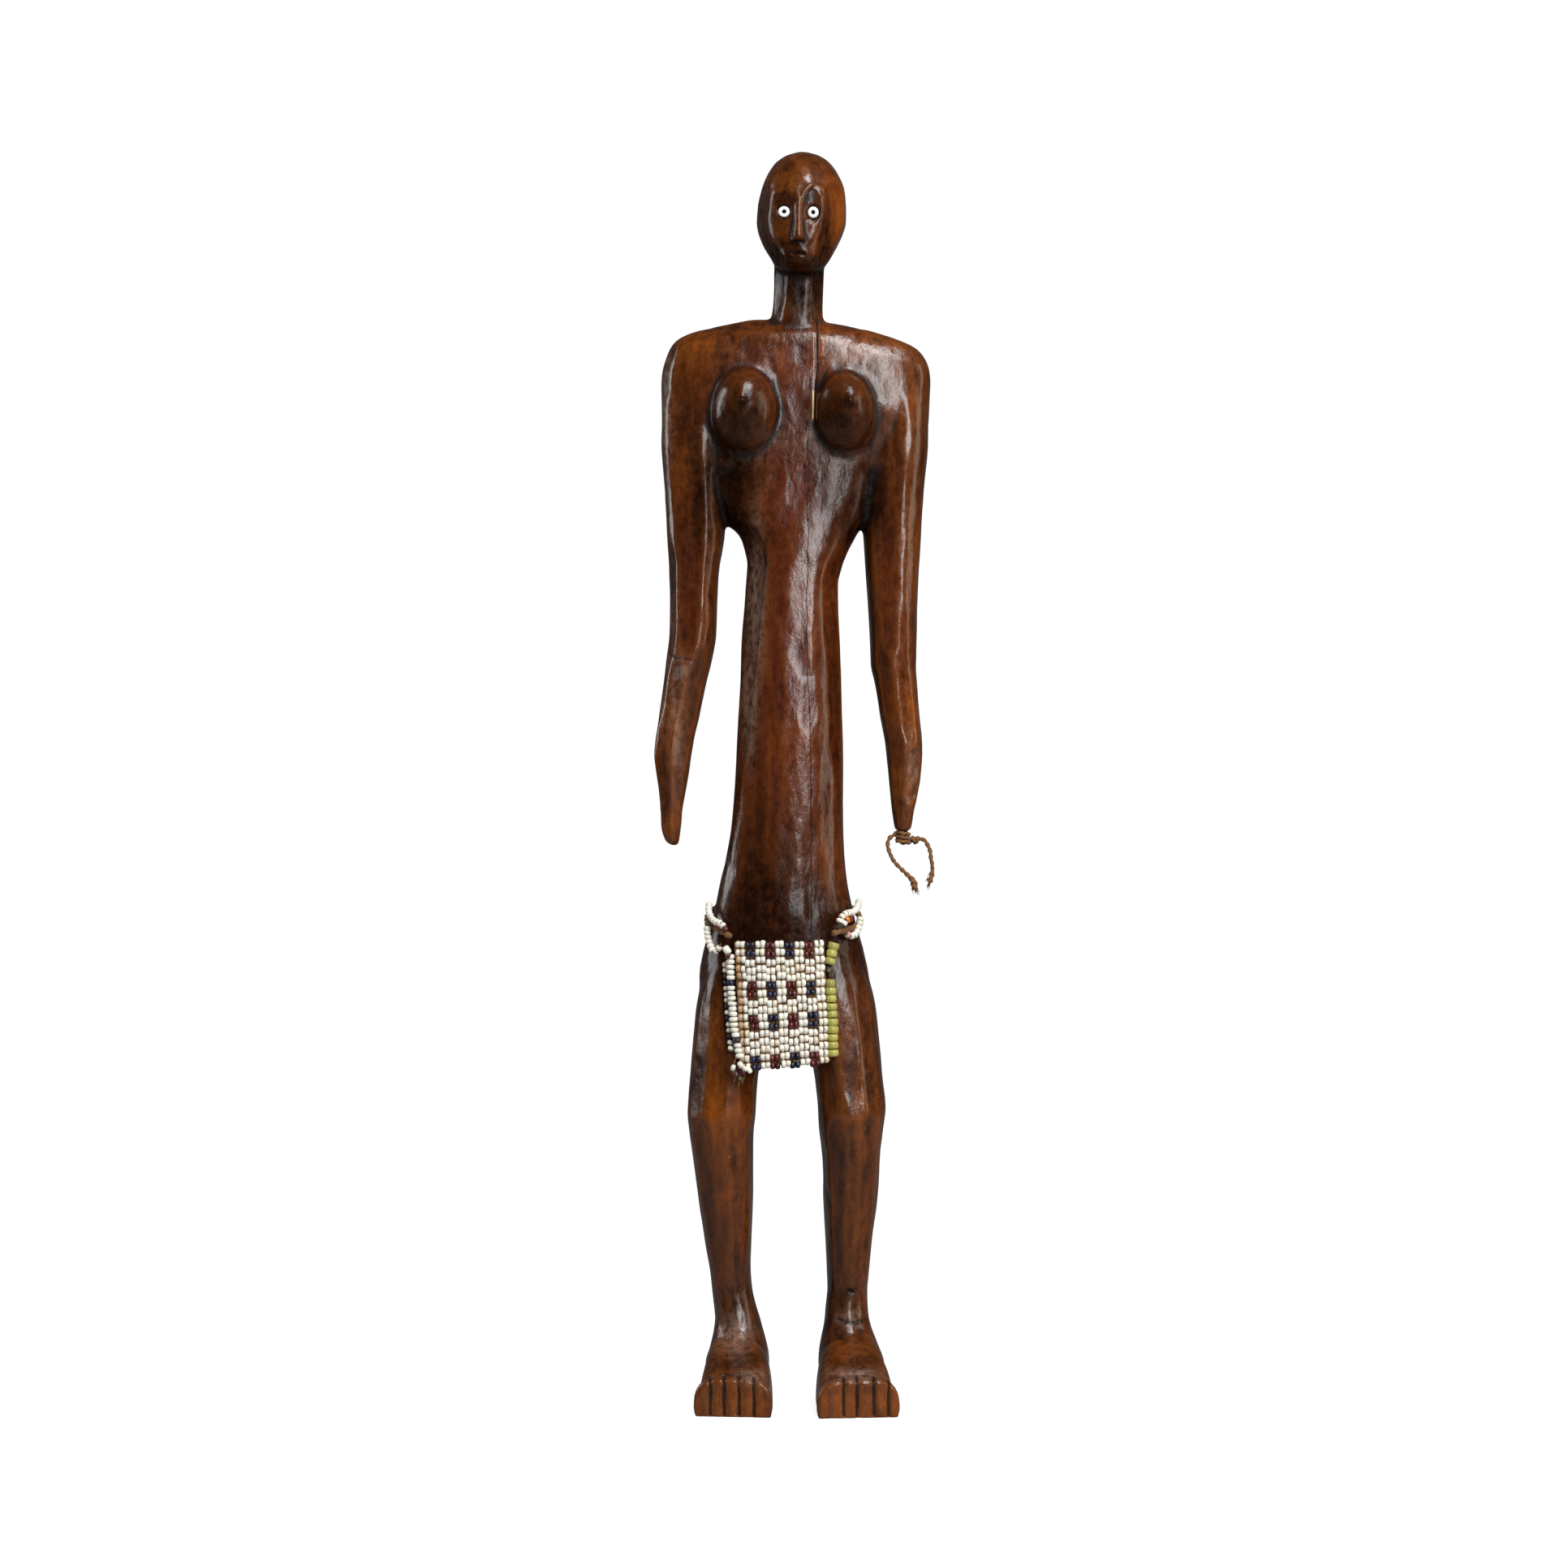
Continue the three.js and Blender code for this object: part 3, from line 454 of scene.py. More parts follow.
ARM_RIGHT = [
    (244.4, 48.1, 1.6, 4.5, 7.7, 2),
    (250.6, 48.1, 1.6, 4.5, 7.7, 2),
    (251.3, 48.1, 3.4, 2.2, 10, 2),
    (259, 48.1, 4.8, 0.5, 12.5, 2.1),
    (266, 48.6, 6, -0.5, 14, 2.2),
    (276, 48.9, 7.2, -1.5, 15.5, 2.3),
    (287, 48.6, 8.1, -2.5, 17, 2.3),
    (301, 46.7, 8.7, -3, 18, 2.3),
    (316, 44.9, 9.4, -3.5, 18.5, 2.3),
    (323, 44, 9.9, -4, 19, 2.3),
    (337, 43.9, 10.4, -4.5, 19.5, 2.3),
    (351, 43.7, 11, -5, 20, 2.3),
    (365, 43.5, 11.8, -5, 20.5, 2.4),
    (379, 43.5, 12.6, -5, 21, 2.4),
    (398, 44, 13.3, -5.5, 21.5, 2.4),
    (420, 45.4, 13.8, -7, 22, 2.5),
    (438, 45.6, 13.4, -6.5, 21, 2.5),
    (452, 42.5, 8, -2, 17, 2.4),
]
print("arms", len(ARM_LEFT), "and", len(ARM_RIGHT), "cuts")

# %% Level cuts of the legs
LEG_LEFT = [
    (14, -24, 13.4, -10, 26, 2.3),
    (19, -24, 13.9, -10, 27.5, 2.3),
    (26, -23.4, 12.6, -8, 28, 2.2),
    (36, -23.8, 10.2, -1, 26, 2.2),
    (43, -25.1, 9.4, 1, 24.5, 2.2),
    (50, -26.4, 9, 1.8, 24, 2.2),
    (57, -27.2, 9.1, 1.2, 24.5, 2.2),
    (71, -28.3, 10.4, -1.5, 25.5, 2.2),
    (92, -29.5, 12.4, -6, 26, 2.2),
    (107, -30.4, 13.3, -10, 24.5, 2.2),
    (121, -31.1, 14.3, -13, 22.5, 2.2),
    (128, -30.9, 14.9, -14, 22.5, 2.2),
    (142, -29.9, 14.9, -13.5, 24, 2.2),
    (160, -27.6, 15.8, -13, 27.5, 2.3),
    (176, -25.5, 16.3, -12.3, 29.5, 2.3),
    (198, -22, 14.5, -10, 28, 2.3),
]
LEG_RIGHT = [
    (14, 25.6, 13.8, -12, 24, 2.3),
    (19, 25.6, 14.4, -12, 26, 2.3),
    (26, 24.7, 13, -9, 27, 2.2),
    (36, 23.9, 10.2, -1, 26, 2.2),
    (43, 23.7, 9.4, 1, 24.5, 2.2),
    (50, 24, 9, 1.8, 24, 2.2),
    (57, 24.4, 9.4, 1.2, 24.5, 2.2),
    (71, 24.8, 10.4, -1.5, 25.5, 2.2),
    (92, 25.5, 12.2, -6, 26, 2.2),
    (107, 25.8, 12.9, -10, 24.5, 2.2),
    (121, 25.7, 14.2, -13, 22.5, 2.2),
    (129, 25.8, 14.8, -14, 22.5, 2.2),
    (142, 24.6, 14.9, -13.5, 24, 2.2),
    (160, 22.2, 15.6, -13, 27.5, 2.3),
    (176, 19.8, 16.2, -12.3, 29.5, 2.3),
    (198, 15.5, 14, -10, 28, 2.3),
]
print("legs", len(LEG_LEFT), "and", len(LEG_RIGHT), "cuts")

# %% Level cuts of the neck, the head and the nose
NECK = [
    (456, 2, 12, 0, 17, 2.4),
    (466, 2, 11.8, -2, 20, 2.4),
    (475, 2, 11.3, -2, 20.5, 2.4),
    (483, 2.5, 10.8, -1.5, 20, 2.4),
    (500, 3, 11, -1.5, 20.5, 2.4),
]
HEAD = [
    (492.6, 3.2, 5.5, -9.5, 9, 2),
    (493.8, 3.2, 8.6, -12.2, 15, 2.1),
    (496, 3.2, 10.9, -14, 17.5, 2.1),
    (499.3, 3.5, 12.9, -15.3, 19.5, 2.2),
    (503, 3.5, 15.1, -16, 21.5, 2.2),
    (506.5, 3.6, 17, -16.4, 23.5, 2.2),
    (510, 3.7, 18.4, -16.6, 25, 2.2),
    (516, 4.1, 19.7, -16.6, 27, 2.2),
    (524, 4.4, 19.4, -16, 28, 2.2),
    (531, 4.6, 17.8, -14, 27, 2.2),
    (537.5, 4.5, 14.9, -10.5, 24, 2.1),
    (542, 4.4, 11.5, -6.5, 20.5, 2.1),
    (544.8, 4.4, 7.3, -2, 15.5, 2),
    (546.3, 4.3, 2.4, 3.5, 9.5, 2),
]
NOSE = [
    (504.8, 2.5, 2.5, -19.9, -10, 3.2),
    (506.2, 2.5, 2.8, -20.3, -10, 3.2),
    (511, 2.6, 2.2, -19.2, -10, 3.4),
    (517, 2.7, 1.9, -18.0, -10, 3.4),
    (523, 2.8, 1.9, -16.9, -10, 3.2),
    (528, 3.0, 2.4, -15.1, -10, 2.6),
]
print("neck", len(NECK), "cuts, head", len(HEAD), "and nose", len(NOSE))

# %% Values between the rows of a table
def smooth_rows(table, at):
    """Values of a table's columns between its rows. Each column follows a cubic that keeps between
    the rows next to it: its slope at a row is twice the product of the slopes on both sides over
    their sum, and 0 where they have different signs."""
    table = np.asarray(table, float)
    x = table[:, :1]
    slope = np.diff(table, axis=0) / np.diff(x, axis=0)
    before, after = slope[:-1], slope[1:]
    same = before * after > 0
    total = np.where(same, before + after, 1)
    bend = np.where(same, 2 * before * after / total, 0)
    bend = np.vstack([slope[:1], bend, slope[-1:]])
    rising = table[-1, 0] > table[0, 0]
    order = x[:, 0] if rising else -x[:, 0]
    i = np.clip(np.searchsorted(order, at if rising else -at, side="right") - 1, 0, len(table) - 2)
    span = x[i + 1] - x[i]
    u = (np.asarray(at)[:, None] - x[i]) / span
    rise = table[i + 1] - table[i]
    return (
        table[i]
        + rise * u * u * (3 - 2 * u)
        + bend[i] * span * u * (1 - u) ** 2
        - bend[i + 1] * span * u * u * (1 - u)
    )


print("waist at 300 mm:", smooth_rows(TORSO, np.array([300.0])).round(1).tolist())

# %% [markdown]
# Knife cuts
#
# The carver's knife leaves flats. On a round limb a flat is a plane that takes off everything
# outside it, so a cut is given by the way it faces in degrees, its depth at the lower and at the
# upper end, and the heights it runs between.
# Cutting the rings before they become a skin keeps each flat true along the whole limb.

# %% Rings with knife cuts
RING_STEP = 1.6


def signed_power(value, power):
    """A value raised to a power, with its sign kept."""
    return np.sign(value) * np.abs(value) ** power


def soft_range(value, low, high, edge):
    """1 between low and high and 0 outside, with a smooth step of the given width at both ends."""
    rise = np.clip((value - low) / edge + 0.5, 0, 1)
    fall = np.clip((high - value) / edge + 0.5, 0, 1)
    return (rise * rise * (3 - 2 * rise)) * (fall * fall * (3 - 2 * fall))


def limb_rings(table, around, cuts):
    """Rings of a limb. At angle a a ring's point is its middle plus half width times cos(a) and
    half depth times sin(a), both raised to 2 / squareness with their sign kept. Each cut then moves
    the points outside its plane straight back onto it."""
    table = np.asarray(table, float)
    low, high = table[0, 0], table[-1, 0]
    count = max(2, int(round((high - low) / RING_STEP)) + 1)
    heights = np.union1d(np.linspace(low, high, count), table[:, 0])
    z, x, half, front, back, power = smooth_rows(table, heights).T[:, :, None]
    angle = 2 * np.pi * (np.arange(around) + 0.5)[None, :] / around
    cos, sin = np.cos(angle), np.sin(angle)
    across = half * signed_power(cos, 2 / power)
    deep = (back - front) / 2 * signed_power(sin, 2 / power)
    for facing, depth_low, depth_high, cut_low, cut_high in cuts:
        nx, ny = math.cos(math.radians(facing)), math.sin(math.radians(facing))
        reach = across * nx + deep * ny
        share = np.clip((z - cut_low) / (cut_high - cut_low), 0, 1)
        depth = depth_low + (depth_high - depth_low) * share
        fade = max(3, 0.22 * (cut_high - cut_low))
        limit = reach.max(axis=1, keepdims=True) - depth * soft_range(z, cut_low, cut_high, fade)
        over = np.maximum(0, reach - limit)
        across, deep = across - over * nx, deep - over * ny
    middle = (front + back) / 2
    return np.stack([x + across, middle + deep, np.broadcast_to(z, across.shape)], axis=-1)


print("one ring at least every", RING_STEP, "mm")

# %% Knife cuts on the torso and the shoulders
TORSO_CUTS = [
    (-142, 0.4, 2.6, 280, 386),
    (-84, 0.35, 0.45, 319, 368),
    (-79, 0.35, 0.3, 297, 318),
    (-38, 0.8, 1.4, 276, 372),
    (-58, 0.3, 0.4, 236, 330),
    (-112, 0.5, 0.35, 212, 290),
    (55, 0.9, 0.9, 240, 380),
    (92, 0.6, 0.6, 230, 360),
    (128, 1.1, 1.1, 250, 385),
    (178, 0.8, 0.5, 240, 330),
    (5, 0.4, 0.8, 290, 372),
]
SHOULDER_CUTS = [
    (-152, 1.0, 1.3, 400, 462),
    (-172, 0.8, 0.8, 385, 420),
    (-20, 1.2, 0.8, 395, 452),
    (70, 0.8, 0.8, 400, 455),
    (112, 0.9, 0.9, 405, 460),
]
print(len(TORSO_CUTS) + len(SHOULDER_CUTS), "cuts on the torso and the shoulders")

# %% Knife cuts on the arms and the legs
ARM_LEFT_CUTS = [
    (-128, 1.2, 1.6, 247, 325),
    (-58, 1.0, 1.5, 247, 324),
    (-155, 0.6, 1.0, 300, 372),
    (-101, 1.4, 1.7, 330, 445),
    (170, 0.8, 0.8, 255, 300),
    (60, 1, 1, 255, 400),
    (125, 0.9, 0.9, 260, 390),
]
ARM_RIGHT_CUTS = [
    (-52, 1.8, 1.2, 264, 287),
    (-118, 0.9, 1.0, 262, 330),
    (-70, 0.7, 0.5, 290, 328),
    (-98, 0.6, 0.6, 328, 352),
    (-102, 1.3, 1.6, 350, 445),
    (60, 1, 1, 262, 400),
    (120, 0.9, 0.9, 255, 385),
]
LEG_LEFT_CUTS = [
    (-128, 0.5, 1.3, 60, 126),
    (-58, 0.6, 1.1, 52, 124),
    (-92, 0.4, 0.6, 70, 126),
    (-103, 1.1, 1.0, 127, 182),
    (-142, 1.0, 0.6, 127, 180),
    (-38, 0.8, 0.8, 130, 180),
    (60, 0.9, 0.9, 45, 110),
    (115, 0.9, 0.9, 50, 170),
    (180, 0.5, 0.5, 50, 125),
]
LEG_RIGHT_CUTS = [
    (-122, 0.5, 1.1, 60, 124),
    (-52, 0.6, 1.3, 52, 126),
    (-88, 0.4, 0.6, 70, 126),
    (-84, 0.6, 0.4, 128, 176),
    (-132, 0.8, 0.8, 130, 180),
    (-44, 1.0, 0.6, 128, 186),
    (60, 0.9, 0.9, 50, 170),
    (115, 0.9, 0.9, 45, 110),
    (0, 0.5, 0.5, 50, 125),
]
print(len(ARM_LEFT_CUTS) + len(ARM_RIGHT_CUTS), "cuts on the arms")
print(len(LEG_LEFT_CUTS) + len(LEG_RIGHT_CUTS), "cuts on the legs")

# %% Knife cuts on the neck and the head
NECK_CUTS = [
    (-150, 1.3, 1.3, 450, 505),
    (-92, 0.25, 0.25, 450, 505),
    (-35, 1.1, 1.1, 450, 505),
    (20, 0.6, 0.6, 450, 505),
    (75, 0.8, 0.8, 450, 505),
    (140, 0.8, 0.8, 450, 505),
]
HEAD_CUTS = [
    (-94, 0.8, 0.8, 496, 524),
    (-158, 0.9, 1.2, 498, 530),
    (-38, 2.1, 1.6, 497, 531),
    (-4, 0.8, 0.8, 502, 528),
    (-66, 0.7, 0.5, 528, 541),
    (-118, 0.4, 0.4, 527, 541),
    (60, 0.7, 0.7, 505, 535),
    (120, 0.7, 0.7, 505, 535),
    (90, 0.6, 0.6, 500, 530),
]
print(len(NECK_CUTS) + len(HEAD_CUTS), "cuts on the neck and the head")

# %% Shells of all the limbs
limbs = [
    tube_shell(limb_rings(table, around, cuts))
    for table, around, cuts in [
        (TORSO, 150, TORSO_CUTS),
        (SHOULDERS, 200, SHOULDER_CUTS),
        (NECK, 72, NECK_CUTS),
        (HEAD, 128, HEAD_CUTS),
        (NOSE, 32, ()),
        (ARM_LEFT, 72, ARM_LEFT_CUTS),
        (ARM_RIGHT, 72, ARM_RIGHT_CUTS),
        (LEG_LEFT, 84, LEG_LEFT_CUTS),
        (LEG_RIGHT, 84, LEG_RIGHT_CUTS),
    ]
]
limb_top = max(float(limb_points[:, 2].max()) for limb_points, limb_faces in limbs)
print(len(limbs), "limbs, the highest one up to", round(limb_top, 1), "mm")

# %% [markdown]
# Feet and breasts
#
# A foot is a block that is cut from the front: flat below, with a rounded upper side that drops
# from the ankle to a ledge, then short blunt toes. Its cuts are upright, from the heel to the toes.
# A breast is a pointed dome, and its cuts are upright too, each smaller than the one behind it. The
# muzzle is a ball that is sunk in the head, and a nipple is a small ball on the tip of its dome.

# %% Upright cuts of the feet
FOOT_LEFT = [
    (31.5, -24.3, 7.5, 14, 2.8),
    (29.5, -24.3, 9.6, 21, 2.6),
    (24, -24.2, 11.4, 29, 2.5),
    (14, -24, 13.6, 35, 2.6),
    (4, -24, 14.8, 34, 2.7),
    (-4, -24, 15.3, 30.5, 3),
    (-13, -24.3, 15.8, 25, 3.2),
    (-20, -24.6, 16.1, 20, 3.3),
    (-23, -24.8, 16.3, 18.4, 3.4),
    (-24, -25, 16.5, 17.2, 3.6),
    (-31, -25.6, 17, 16.4, 3.8),
    (-32, -25.5, 16.2, 15.2, 3.8),
]
FOOT_RIGHT = [
    (29, 25, 7.5, 14, 2.8),
    (27, 25, 9.6, 21, 2.6),
    (21.5, 24.9, 11.4, 29, 2.5),
    (12, 25, 13.9, 35, 2.6),
    (2, 25.4, 15.2, 34, 2.7),
    (-6, 25.8, 15.8, 30.5, 3),
    (-15, 26.6, 16.4, 25, 3.2),
    (-22, 27.1, 16.8, 20, 3.3),
    (-25.5, 27.6, 17.1, 18.4, 3.4),
    (-26.5, 27.8, 17.4, 17.2, 3.6),
    (-34, 28.1, 17.9, 16.4, 3.8),
    (-35, 28.2, 17, 15.2, 3.8),
]
FEET = [
    {
        "rows": FOOT_LEFT,
        "front": -32,
        "inner": -8.6,
        "outer": -42.6,
        "grooves": (-35.3, -29.4, -23.1, -16.7),
    },
    {
        "rows": FOOT_RIGHT,
        "front": -35,
        "inner": 10.2,
        "outer": 46,
        "grooves": (21.8, 27.5, 34.8, 41.1),
    },
]
print("feet", len(FOOT_LEFT), "and", len(FOOT_RIGHT), "cuts")

# %% Feet
SOLE_SHARE = 0.96
LITTLE_TOE_SETBACK = 5
FOOT_CUTS = 50
SOLE_POINTS = 18


def setback(x, foot):
    """How far the row of toes runs back from the big toe: 5 mm times the share of the way to the
    outer edge, raised to 1.6."""
    outward = np.clip((x - foot["inner"]) / (foot["outer"] - foot["inner"]), 0, None)
    return LITTLE_TOE_SETBACK * outward**1.6


def foot_shell(foot, around=60):
    """Rings of a foot. The upper part of a ring is half of a rounded outline, as high as the foot
    is there, and the sole closes it with a level line, a little narrower than the foot."""
    table = np.asarray(foot["rows"], float)
    y = np.union1d(np.linspace(table[-1, 0], table[0, 0], FOOT_CUTS), table[:, 0])[::-1]
    y, x, half, height, power = smooth_rows(table, y).T[:, :, None]
    angle = np.linspace(0, np.pi, around)[None, :]
    cos, sin = np.cos(angle), np.clip(np.sin(angle), 0, 1)
    on_floor = (np.arange(around) == 0) | (np.arange(around) == around - 1)
    reach = half * np.where(on_floor, SOLE_SHARE, 1)[None, :]
    px = x + reach * signed_power(cos, 2 / power)
    pz = np.where(on_floor[None, :], 0, height * sin ** (2 / power))
    py = y + np.clip(y / foot["front"], 0, None) * setback(px, foot)
    rings = np.stack([px, py, pz], axis=-1)
    sole_share = np.linspace(0, 1, SOLE_POINTS)[1:-1, None]
    sole = rings[:, -1:, :] * (1 - sole_share[None]) + rings[:, :1, :] * sole_share[None]
    return tube_shell(np.concatenate([rings, sole], axis=1)[:, ::-1])


feet = [foot_shell(foot) for foot in FEET]
print("feet made, toes at y", [round(float(shell[0][:, 1].min()), 1) for shell in feet])

# %% Breasts and muzzle
BREASTS = [
    {"x": -20.5, "z": 433, "nipple_x": -21.8, "half_width": 14, "half_height": 18.1},
    {"x": 22.4, "z": 432.4, "nipple_x": 24.5, "half_width": 12.9, "half_height": 17.1},
]
NIPPLE_HEIGHT = 436.2
NIPPLE_DEPTH = -21.9
NIPPLE_RADII = (1.7, 1.9, 1.7)
BREAST_PROFILE = [
    (2, 1.2),
    (-6.5, 1.14),
    (-8.2, 1.06),
    (-9.8, 1),
    (-12.5, 0.94),
    (-16.2, 0.76),
    (-19, 0.53),
    (-20.9, 0.3),
    (-21.8, 0.1),
]
MUZZLE_MIDDLE = (3.4, -11.6, 500.8)
MUZZLE_RADII = (8.6, 6.0, 6.6)


def breast_shell(breast, around=72):
    """Rings of a dome. A ring at depth y is the base ellipse times the profile's share, and its
    middle moves from the base's middle to the nipple as the share goes from 1 to 0."""
    profile = np.asarray(BREAST_PROFILE, float)
    depth = np.union1d(np.linspace(profile[-1, 0], profile[0, 0], 30), profile[:, 0])[::-1]
    y, share = smooth_rows(profile, depth).T[:, :, None]
    angle = 2 * np.pi * np.arange(around)[None, :] / around
    middle_x = breast["x"] + (breast["nipple_x"] - breast["x"]) * (1 - share)
    middle_z = breast["z"] + (NIPPLE_HEIGHT - breast["z"]) * (1 - share)
    px = middle_x + breast["half_width"] * share * np.cos(angle)
    pz = middle_z + breast["half_height"] * share * np.sin(angle)
    return tube_shell(np.stack([px, np.broadcast_to(y, px.shape), pz], axis=-1))


def ball_shell(centre, radii, around=36, down=18):
    """A ball stretched to three radii, from rings of equal steps between its two poles."""
    polar = np.linspace(0.08, np.pi - 0.08, down)[:, None]
    angle = 2 * np.pi * np.arange(around)[None, :] / around
    upright = np.broadcast_to(np.cos(polar), (down, around))
    unit = np.stack([np.sin(polar) * np.cos(angle), np.sin(polar) * np.sin(angle), upright], axis=-1)
    return tube_shell(unit * np.asarray(radii) + np.asarray(centre))


breasts = [breast_shell(breast) for breast in BREASTS]
nipples = [
    ball_shell((breast["nipple_x"], NIPPLE_DEPTH, NIPPLE_HEIGHT), NIPPLE_RADII) for breast in BREASTS
]
muzzle = ball_shell(MUZZLE_MIDDLE, MUZZLE_RADII)
print("breasts reach out to y", [round(float(shell[0][:, 1].min()), 1) for shell in breasts])

# %% [markdown]
# One skin over all the forms
#
# The forms run into each other, and on the real figure they are one surface. A voxel remesh lays a
# single skin of small even faces over the outside of them all. It costs nothing to steer, where
# joining the surfaces by hand would be slow work. The skin is finer than it needs to be in the
# end, so that the mouth, the toes and the cracks can be cut into it. After that the flat parts are
# thinned out again.

# %% Remesh into one skin
VOXEL = 0.62


def one_skin(name, shells, voxel):
    """The outer skin of overlapping closed shells, as even square faces of about the voxel size."""
    rough = mesh_piece(name + "_rough", *merged(shells))
    remesh = rough.modifiers.new("skin", "REMESH")
    remesh.mode = "VOXEL"
    remesh.voxel_size = voxel * MM
    graph = bpy.context.evaluated_depsgraph_get()
    mesh = bpy.data.meshes.new_from_object(rough.evaluated_get(graph))
    bpy.data.objects.remove(rough)
    mesh.name = name
    return new_object(name, mesh)


figure = one_skin("carved_figure", limbs + feet + breasts + nipples + [muzzle], VOXEL)
print("skin of", len(figure.data.polygons), "faces")

# %% Smoothing by the mean of the neighbours
def edges_of(piece):
    """The two ends of every edge of a piece."""
    flat = np.empty(len(piece.data.edges) * 2, np.int32)
    piece.data.edges.foreach_get("vertices", flat)
    return flat.reshape(-1, 2)


def neighbour_mean(values, edges):
    """For every vertex the mean of the values at the vertices it shares an edge with."""
    a, b = edges.T
    count = np.bincount(a, minlength=len(values)) + np.bincount(b, minlength=len(values))
    columns = [
        np.bincount(a, values[b, k], len(values)) + np.bincount(b, values[a, k], len(values))
        for k in range(values.shape[1])
    ]
    return np.stack(columns, axis=1) / np.maximum(count, 1)[:, None]


def relax(points, edges, share, turns=1):
    """Moves every point a share of the way to the mean of its neighbours, as often as told."""
    for _ in range(turns):
        points += share * (neighbour_mean(points, edges) - points)


def normals_of(piece):
    """The direction that the surface faces at every vertex."""
    flat = np.empty(len(piece.data.vertices) * 3, np.float32)
    piece.data.vertex_normals.foreach_get("vector", flat)
    return flat.reshape(-1, 3).astype(float)


edges = edges_of(figure)
points = coordinates(figure)
relax(points, edges, 0.5, 3)
set_coordinates(figure, points)
print("smoothed", len(points), "vertices")

# %% [markdown]
# Where one form runs into the next
#
# The carver rounded the places where an arm meets the shoulder, a leg the hip and a breast the
# chest. Every point there goes part of the way to the mean of its neighbours, again and again, so a
# sharp seam turns into a soft hollow.

# %% Soften the joints
SOFT_PLACES = [
    (-20.5, 449, 16, 9, 1.0),
    (22.4, 448, 15, 9, 1.0),
    (-20.5, 414, 14, 5, 0.6),
    (22.4, 415, 13, 5, 0.4),
    (-48, 440, 10, 16, 1.0),
    (50, 440, 10, 16, 1.0),
    (2, 472, 18, 5, 0.9),
    (3.4, 501, 11, 6.5, 0.9),
    (-30, 186, 16, 16, 1.0),
    (22, 186, 16, 16, 1.0),
    (-22, 376, 8, 12, 0.8),
    (25, 376, 8, 12, 0.8),
    (-24, 42, 12, 8, 0.7),
    (24, 42, 12, 8, 0.7),
]
SOFT_TURNS = 45
SOFT_SHARE = 0.7
SOFT_LEAST = 0.02

weight = np.zeros(len(points))
for x, z, across, up, strength in SOFT_PLACES:
    near = strength * np.exp(-(((points[:, 0] - x) / across) ** 2) - ((points[:, 2] - z) / up) ** 2)
    weight = np.maximum(weight, near)
patch = np.nonzero(weight > SOFT_LEAST)[0]
touching = edges[(weight[edges] > SOFT_LEAST).any(axis=1)]
for _ in range(SOFT_TURNS):
    to_mean = neighbour_mean(points, touching)[patch] - points[patch]
    points[patch] += SOFT_SHARE * weight[patch, None] * to_mean
set_coordinates(figure, points)
print("softened", len(patch), "vertices")

# %% [markdown]
# Flats of the knife
#
# Rubbing has softened the figure, but the light still catches hundreds of narrow flats that run
# with the grain. One cut of a knife is a plane: what stands above it goes. Each cut here picks a
# spot on the skin, lays a plane about a tenth of a millimetre under it, and moves the points above
# the plane straight down onto it. Small flats are cut on the head and the feet and wider ones
# elsewhere. The spots come from a seeded generator, so each run gives the same figure.

# %% Shave flats with the grain
FLATS = 2400
FLAT_STRETCH = 2.2
FLAT_DEPTH = (0.04, 0.15)
SMALL_FLATS = (2.5, 5)
WIDE_FLATS = (3, 9)
HEAD_BOTTOM = 492
FOOT_TOP = 30


def shave(points, near, centre, facing, depth, reach):
    """Moves the points near the centre that stand above a plane down to it. Height above the plane
    is (p - c) . n + depth. Distance counts less along z, as a knife cut is long, and the cut fades
    out by (1 - (distance / reach)^2)^2."""
    away = points[near] - centre
    distance = np.sqrt(away[:, 0] ** 2 + away[:, 1] ** 2 + (away[:, 2] / FLAT_STRETCH) ** 2)
    fade = np.clip(1 - (distance / reach) ** 2, 0, 1) ** 2
    height = np.clip(away @ facing + depth, 0, 2 * depth) * fade
    points[near] -= height[:, None] * facing


normals = normals_of(figure)
by_height = np.argsort(points[:, 2])
heights = points[by_height, 2]
seeds = rng.choice(len(points), FLATS, replace=False)
for seed in seeds:
    facing = normals[seed] + 0.05 * rng.standard_normal(3) * (1, 1, 0.3)
    facing /= np.linalg.norm(facing)
    small = points[seed, 2] > HEAD_BOTTOM or points[seed, 2] < FOOT_TOP
    size = rng.uniform(*SMALL_FLATS) if small else rng.uniform(*WIDE_FLATS)
    window = points[seed, 2] + size * FLAT_STRETCH * np.array([-1, 1])
    low, high = np.searchsorted(heights, window)
    depth = rng.uniform(*FLAT_DEPTH)
    shave(points, by_height[low:high], points[seed].copy(), facing, depth, size)
relax(points, edges, 0.25)
set_coordinates(figure, points)
print(FLATS, "flats cut")

# %% [markdown]
# The face
#
# The face is carved with few cuts. Each eye is a shallow dish with a flat seat for its bead, the
# brows run down into a straight nose, and the mouth is one short slit in a rounded muzzle. Dishes
# are pressed in with the equation of a ball, and every line is a groove along a short route. A
# groove with a negative depth is a ridge.

# %% Dishes, seats and grooves
EYES = [(-3.7, 518), (8.9, 517.7)]
EYE_BEAD = {"radius": 2.5, "length": 2.1, "hole": 0.22, "front": -14.4, "back": -12.3}


def route_distance(points, route):
    """Shortest distance in the x-z plane from each point to a route of (x, z) corners."""
    flat = points[:, [0, 2]]
    best = np.full(len(points), 1e9)
    for a, b in zip(route[:-1], route[1:]):
        a, b = np.array(a, float), np.array(b, float)
        run = b - a
        t = np.clip((flat - a) @ run / (run @ run), 0, 1)
        best = np.minimum(best, np.linalg.norm(flat - a - t[:, None] * run, axis=1))
    return best


